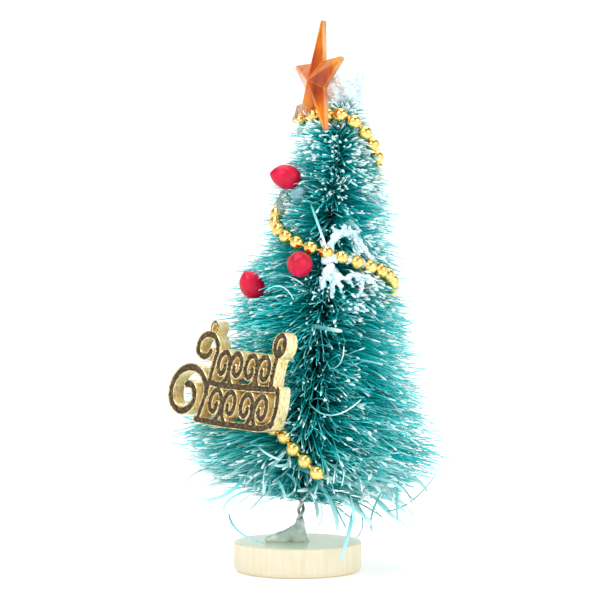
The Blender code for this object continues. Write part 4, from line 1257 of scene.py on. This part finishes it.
# %% Rods
def rods_mesh(name, lines, wide, thin, sides, paint, faces_out=None):
    """Closed rods round lines (rods, points, 3). wide and thin are half widths at each point.
    Each rod has its own strip of the bake map, and its paint is a colour at each point."""
    count, steps = lines.shape[:2]
    way = np.gradient(lines, axis=1)
    way /= np.linalg.norm(way, axis=2)[..., None] + 1e-12
    if faces_out is None:
        faces_out = chance.normal(0, 1, (count, 3))
    first_side = np.cross(way, faces_out[:, None])
    first_side /= np.linalg.norm(first_side, axis=2)[..., None] + 1e-12
    second_side = np.cross(way, first_side)
    turns = (np.arange(sides) + 0.5) / sides * 2 * pi
    ring = (
        lines[:, :, None]
        + first_side[:, :, None] * (np.cos(turns)[None, None, :, None] * wide[:, :, None, None])
        + second_side[:, :, None] * (np.sin(turns)[None, None, :, None] * thin[:, :, None, None])
    )
    corner = np.arange(count * steps * sides).reshape(count, steps, sides)
    here, ahead = corner[:, :-1], corner[:, 1:]
    quads = np.stack([here, np.roll(here, -1, 2), np.roll(ahead, -1, 2), ahead], -1)
    flat = np.array([tuple(TRUNK @ Vector(p)) for p in ring.reshape(-1, 3)])
    faces = quads.reshape(-1, 4).tolist() + corner[:, 0, ::-1].tolist() + corner[:, -1].tolist()
    mesh = bpy.data.meshes.new(name)
    mesh.from_pydata(flat.tolist(), [], faces)
    mesh.shade_smooth()
    colours = mesh.color_attributes.new("strand", "FLOAT_COLOR", "POINT")
    full = np.ones((count, steps, sides, 4))
    full[..., :3] = paint[:, :, None]
    colours.data.foreach_set("color", full.reshape(-1))
    mesh.uv_layers.new(name="OFBake")
    mesh.uv_layers["OFBake"].data.foreach_set("uv", strip_map(count, steps, sides).reshape(-1))
    return mesh


def strip_map(count, steps, sides):
    """A place in the bake map for every corner: one upright strip for each rod."""
    columns = int(sqrt(count * 5)) + 1
    rows = -(-count // columns)
    number = np.arange(count)
    origin = np.stack([number % columns / columns, number // columns / rows], -1)
    size = np.array([0.88 / columns, 0.94 / rows])
    levels = np.linspace(0.08, 0.92, steps)
    fronts = np.arange(sides + 1) / sides
    corners = np.zeros((steps - 1, sides, 4, 2))
    for k in range(steps - 1):
        for s in range(sides):
            low, high, left, right = levels[k], levels[k + 1], fronts[s], fronts[s + 1]
            corners[k, s] = [(left, low), (right, low), (right, high), (left, high)]
    turns = np.arange(sides) / sides * 2 * pi
    cap = np.stack([0.5 + 0.48 * np.cos(turns), 0.03 + 0.025 * np.sin(turns)], -1)
    top = cap + np.array([0.0, 0.93])
    body = origin[:, None, None, None] + corners[None] * size
    start = origin[:, None] + cap[None] * size
    end = origin[:, None] + top[None] * size
    return np.concatenate([body.reshape(-1, 2), start.reshape(-1, 2), end.reshape(-1, 2)])


# %% Bristle finish
bristle_plastic = new_material("bristle_plastic", (0.02, 0.45, 0.45), 0.5, Specular_IOR_Level=0.35)


def paint_strands(made, stops, frost_colour):
    """Colours rods along their length, darker at the root as painted shade, with frost over it and a tone for
    each rod.
    """
    shader = made.node_tree.nodes["Principled BSDF"]
    source = node_in(made, "ShaderNodeAttribute")
    source.attribute_name = "strand"
    parts = node_in(made, "ShaderNodeSeparateColor")
    wire_up(made, source.outputs["Color"], parts.inputs["Color"])
    body = ramp(made, parts.outputs["Red"], stops)
    tone = ramp(made, parts.outputs["Blue"], [(0.0, (0.45, 0.52, 0.52)), (1.0, (1.15, 1.12, 1.12))])
    shade = node_in(made, "ShaderNodeMix")
    shade.data_type = "RGBA"
    shade.blend_type = "MULTIPLY"
    shade.inputs["Factor"].default_value = 1.0
    wire_up(made, body, shade.inputs["A"])
    wire_up(made, tone, shade.inputs["B"])
    frosted = node_in(made, "ShaderNodeMix")
    frosted.data_type = "RGBA"
    frosted.inputs["B"].default_value = (*frost_colour, 1.0)
    wire_up(made, parts.outputs["Green"], frosted.inputs["Factor"])
    wire_up(made, shade.outputs["Result"], frosted.inputs["A"])
    wire_up(made, frosted.outputs["Result"], shader.inputs["Base Color"])
    roughened(made, parts.outputs["Green"], 0.42, 0.85)


# The stops darken towards the wire: painted shade for the inside of the brush.
paint_strands(
    bristle_plastic,
    [
        (0.0, (0.0, 0.60, 0.62)),
        (0.45, (0.0, 0.66, 0.68)),
        (0.80, (0.0, 0.74, 0.75)),
        (0.94, (0.06, 0.86, 0.86)),
        (1.0, (0.34, 0.95, 0.95)),
    ],
    (0.84, 0.99, 1.0),
)


def strand_paint(shares, frost, tones):
    """(rods, points, 3): share along the rod, frost, and the rod's tone."""
    return np.stack([shares, frost, np.broadcast_to(tones[:, None], shares.shape)], -1)


def bristle_shares(ends_at):
    """Shares of the length for each point of a rod: four up the rod and four close to its tip."""
    whole = lengths * ends_at
    tail = np.array([1.4, 1.0, 0.3, 0.0]) * MM * chance.uniform(0.8, 2.4, (BRISTLES, 1))
    near = (whole[:, None] - tail) / lengths[:, None]
    far = near[:, :1] * np.array([0.0, 0.35, 0.65, 0.87])
    return np.maximum(np.concatenate([far, near], 1), 0.0)


PALE_ZONES = spread_by((10, 28, 45, 85, 121), (0.66, 0.54, 0.22, 0.3, 0.4))
SIDE_FROST = spread_by((30, 45), (-0.5, 0.5))  # the skirt has more on the left, the rest on the right
FROST_ZONES = spread_by((10, 30, 60, 85, 105, 121), (0.40, 0.22, 0.16, 0.32, 0.46, 0.80))


def frost_chance():
    """How likely each bristle is frosted, and which ones are in the caked patch."""
    likely = FROST_ZONES(root_heights) * (0.35 + 1.3 * tuft_tone)
    likely *= 1 + SIDE_FROST(root_heights) * np.sin(root_bearings)
    along_arc = (root_bearings - CLUMP_BEARING) * CLUMP_ARC
    clump = np.hypot(along_arc, root_heights - CLUMP_HEIGHT) < CLUMP_RADIUS
    return np.where(clump, 0.92, np.where(by_leg, 0.7, likely)), clump


frosted_share, clump = frost_chance()
frosty = chance.uniform(0, 1, BRISTLES) < frosted_share
shares = bristle_shares(ends)
paths = bristle_points(shares)
frost = np.zeros_like(shares)
pale = chance.uniform(0, 0.62, BRISTLES) * (chance.uniform(0, 1, BRISTLES) < PALE_ZONES(root_heights))
frost[:, 3:] = pale[:, None] * np.array([0.6, 1.0, 1.0, 1.0, 1.0])
frost[:, -3:] = np.maximum(frost[:, -3:], frosty[:, None])
frost[:, -4] = np.maximum(frost[:, -4], frosty * 0.3)
width = np.interp(shares, [0, 0.7, 1], [0.15 * MM, 0.14 * MM, 0.11 * MM])
width *= chance.uniform(0.75, 1.25, (BRISTLES, 1))
blob = np.where(clump, 2.6, 1.8) + 1.9 * chance.uniform(0, 1, BRISTLES) ** 2
width[:, -3:-1] *= np.where(frosty, blob, 1.0)[:, None]
width[:, -1] *= np.where(frosty, 0.9, 0.45)
tones = np.clip(0.6 * tuft_tone + 0.4 * chance.uniform(0, 1, BRISTLES), 0, 1)
paint = strand_paint(shares / np.maximum(ends[:, None], 0.55), frost, tones)

TIERS = {"low": (0.0, 38 * MM), "middle": (38 * MM, 74 * MM), "high": (74 * MM, 1.0)}
for tier, (low, high) in TIERS.items():
    chosen = (root_heights >= low) & (root_heights < high)
    mesh = rods_mesh(f"bristles_{tier}", paths[chosen], width[chosen], width[chosen], 3, paint[chosen])
    made = new_piece(f"bristles_{tier}", mesh, [bristle_plastic], "bristles", "bristle_brush")
    print(made.name, int(chosen.sum()), "bristles,", len(mesh.polygons), "faces")

# %% [markdown]
# ## Film strips and stray strands
# The brush was cut from slit film, so some strands stay wide and flat. They are paler and
# a little clear, they hang down round the skirt, and a few reach the base. They use the same
# rods with a flat section. The ones that a viewer would notice are listed one by one.

# %% Strips
film = new_material("slit_film", (0.55, 0.86, 0.85), 0.4, Transmission_Weight=0.1, IOR=1.4)
# The strips darken towards the root as painted shade where they leave the inside of the skirt.
strip_shade_tones = [(0.0, (0.08, 0.66, 0.68)), (0.4, (0.34, 0.87, 0.88)), (1.0, (0.68, 0.98, 0.98))]
paint_strands(film, strip_shade_tones, (0.90, 1.0, 1.0))
STRIP_POINTS = 9
STRIP_THIN = 0.049 * MM
CORNER_REACH = 1.35  # makes up for a four-sided rod's corners, which lie at 45 degrees

# Places in millimetres from the middle of the base's foot (across, towards the back, up), then
# the strip's half width.
PLACED_STRIPS = (
    ((-9.0, -12.0, 24.0), (-19.0, -13.0, 20.0), (-17.5, -13.5, 13.5), 0.3),
    ((-18.5, -10.0, 16.5), (-15.5, -11.5, 11.8), (-8.5, -10.0, 8.5), 0.32),
    ((3.0, -8.0, 24.0), (6.6, -9.0, 17.5), (4.6, -9.0, 12.0), 0.16),
    ((4.0, -15.0, 27.0), (9.0, -16.0, 20.0), (10.6, -16.0, 12.6), 0.62),
    ((15.0, -13.0, 18.5), (13.4, -16.0, 11.5), (11.2, -18.2, 4.8), 0.52),
    ((2.0, -17.0, 25.0), (4.6, -19.0, 21.0), (5.2, -19.0, 16.5), 0.5),
    ((16.0, -16.0, 31.0), (17.6, -19.0, 25.5), (16.6, -19.5, 20.5), 0.5),
    ((13.0, -17.0, 27.5), (19.0, -19.0, 26.0), (25.5, -17.0, 24.6), 0.5),
    ((27.0, -12.0, 26.0), (26.5, -14.0, 18.0), (27.5, -14.0, 11.5), 0.34),
    ((22.0, -12.0, 22.0), (19.5, -14.5, 15.5), (20.5, -14.5, 11.5), 0.3),
    ((16.0, -8.0, 20.0), (17.5, -10.0, 14.0), (15.6, -10.0, 10.0), 0.16),
    ((24.0, -8.0, 17.0), (31.0, -8.0, 20.0), (37.5, -6.0, 27.0), 0.2),
    ((26.0, -8.0, 24.0), (33.0, -8.0, 26.0), (38.5, -6.0, 30.5), 0.16),
    ((-14.0, -16.0, 27.0), (-20.0, -17.0, 22.0), (-27.0, -13.0, 21.0), 0.5),
    ((-8.0, -20.0, 28.0), (-6.0, -22.5, 31.0), (-3.0, -23.0, 34.5), 0.5),
    ((3.5, -14.0, 99.5), (5.4, -17.5, 94.0), (7.6, -19.5, 87.6), 0.34),
    ((-9.5, -16.5, 79.0), (-4.0, -18.5, 80.5), (1.5, -20.0, 78.0), 0.17),
    ((-9.0, -17.0, 76.0), (-4.5, -19.5, 77.6), (-1.0, -20.0, 74.0), 0.17),
    ((8.0, -24.5, 56.0), (11.0, -27.0, 57.5), (12.0, -27.5, 62.0), 0.16),
    ((3.0, -23.5, 47.0), (9.0, -26.0, 44.0), (16.5, -25.0, 48.0), 0.2),
)
LOOSE_STRIPS = 150
LOOSE_ON_LEFT = 20


def bent_lines(starts, middles, ends_at, count):
    """Smooth lines with this many points through a start, a middle and an end."""
    t = np.linspace(0, 1, count)[None, :, None]
    pull = 2 * middles - (starts + ends_at) / 2
    return (1 - t) ** 2 * starts[:, None] + 2 * t * (1 - t) * pull[:, None] + t**2 * ends_at[:, None]


def placed_lines():
    places = np.array([row[:3] for row in PLACED_STRIPS]) * MM
    back = TRUNK.inverted()
    places = np.array([[tuple(back @ Vector(p)) for p in row] for row in places])
    return bent_lines(places[:, 0], places[:, 1], places[:, 2], STRIP_POINTS)


def loose_lines():
    """Strips that leave the skirt and hang, most on the right in front, with a few higher up."""
    bearings = chance.uniform(0, 2 * pi, LOOSE_STRIPS)
    half = LOOSE_STRIPS // 2
    bearings[:half] = chance.normal(radians(48), radians(32), half)
    bearings[half : half + LOOSE_ON_LEFT] = chance.normal(radians(-50), radians(26), LOOSE_ON_LEFT)
    low = chance.uniform(0, 1, LOOSE_STRIPS) < 0.78
    skirt_heights = chance.uniform(13, 27, LOOSE_STRIPS)
    upper_heights = chance.uniform(27, 100, LOOSE_STRIPS)
    heights = np.where(low, skirt_heights, upper_heights) * MM
    edge = np.interp(heights, OUTLINE_HEIGHT, OUTLINE_RADIUS)
    out = outwards_of(bearings)
    side = np.cross(out, (0, 0, 1.0)) * chance.normal(0, 0.5, (LOOSE_STRIPS, 1))
    start = out * (edge * chance.uniform(0.45, 0.8, LOOSE_STRIPS))[:, None]
    start[:, 2] = heights
    size = chance.uniform(9, 17, (LOOSE_STRIPS, 1)) * MM
    size[~low] *= 0.55
    drop = chance.uniform(-0.1, 0.75, (LOOSE_STRIPS, 1)) * np.array([0, 0, -1.0])
    drop[~low] *= 0.4
    end = start + (out * 0.75 + side + drop) * size
    middle = (start + end) / 2 + chance.normal(0, 0.08, (LOOSE_STRIPS, 3)) * size
    middle += np.array([0, 0, 0.07]) * size
    widths = (0.18 + 0.5 * chance.uniform(0, 1, LOOSE_STRIPS) ** 1.3) * MM
    lines = bent_lines(start, middle, end, STRIP_POINTS)
    free = ~is_taken(lines).any(1)
    return lines[free], widths[free], np.cross(out, (0, 0, 1.0))[free] * 0.3 + out[free]


def strips_mesh():
    lines, widths, facing = loose_lines()
    hand = placed_lines()
    lines = np.concatenate([hand, lines])
    widths = np.concatenate([np.array([row[3] for row in PLACED_STRIPS]) * MM, widths])
    facing = np.concatenate([np.tile((0.1, -1.0, 0.4), (len(hand), 1)), facing])
    shares = np.tile(np.linspace(0, 1, STRIP_POINTS), (len(lines), 1))
    frost = np.clip((shares - chance.uniform(0.55, 1.05, (len(lines), 1))) * 6, 0, 1)
    wide = widths[:, None] * CORNER_REACH * np.interp(shares, [0, 0.15, 0.85, 1], [0.5, 1, 1, 0.6])
    thin = np.full_like(wide, STRIP_THIN)
    paint = strand_paint(shares, frost, chance.uniform(0, 1, len(lines)))
    return rods_mesh("film_strips", lines, wide, thin, 4, paint, facing)


strips = new_piece("film_strips", strips_mesh(), [film], "bristles")
print("film strips", len(strips.data.polygons), "faces")
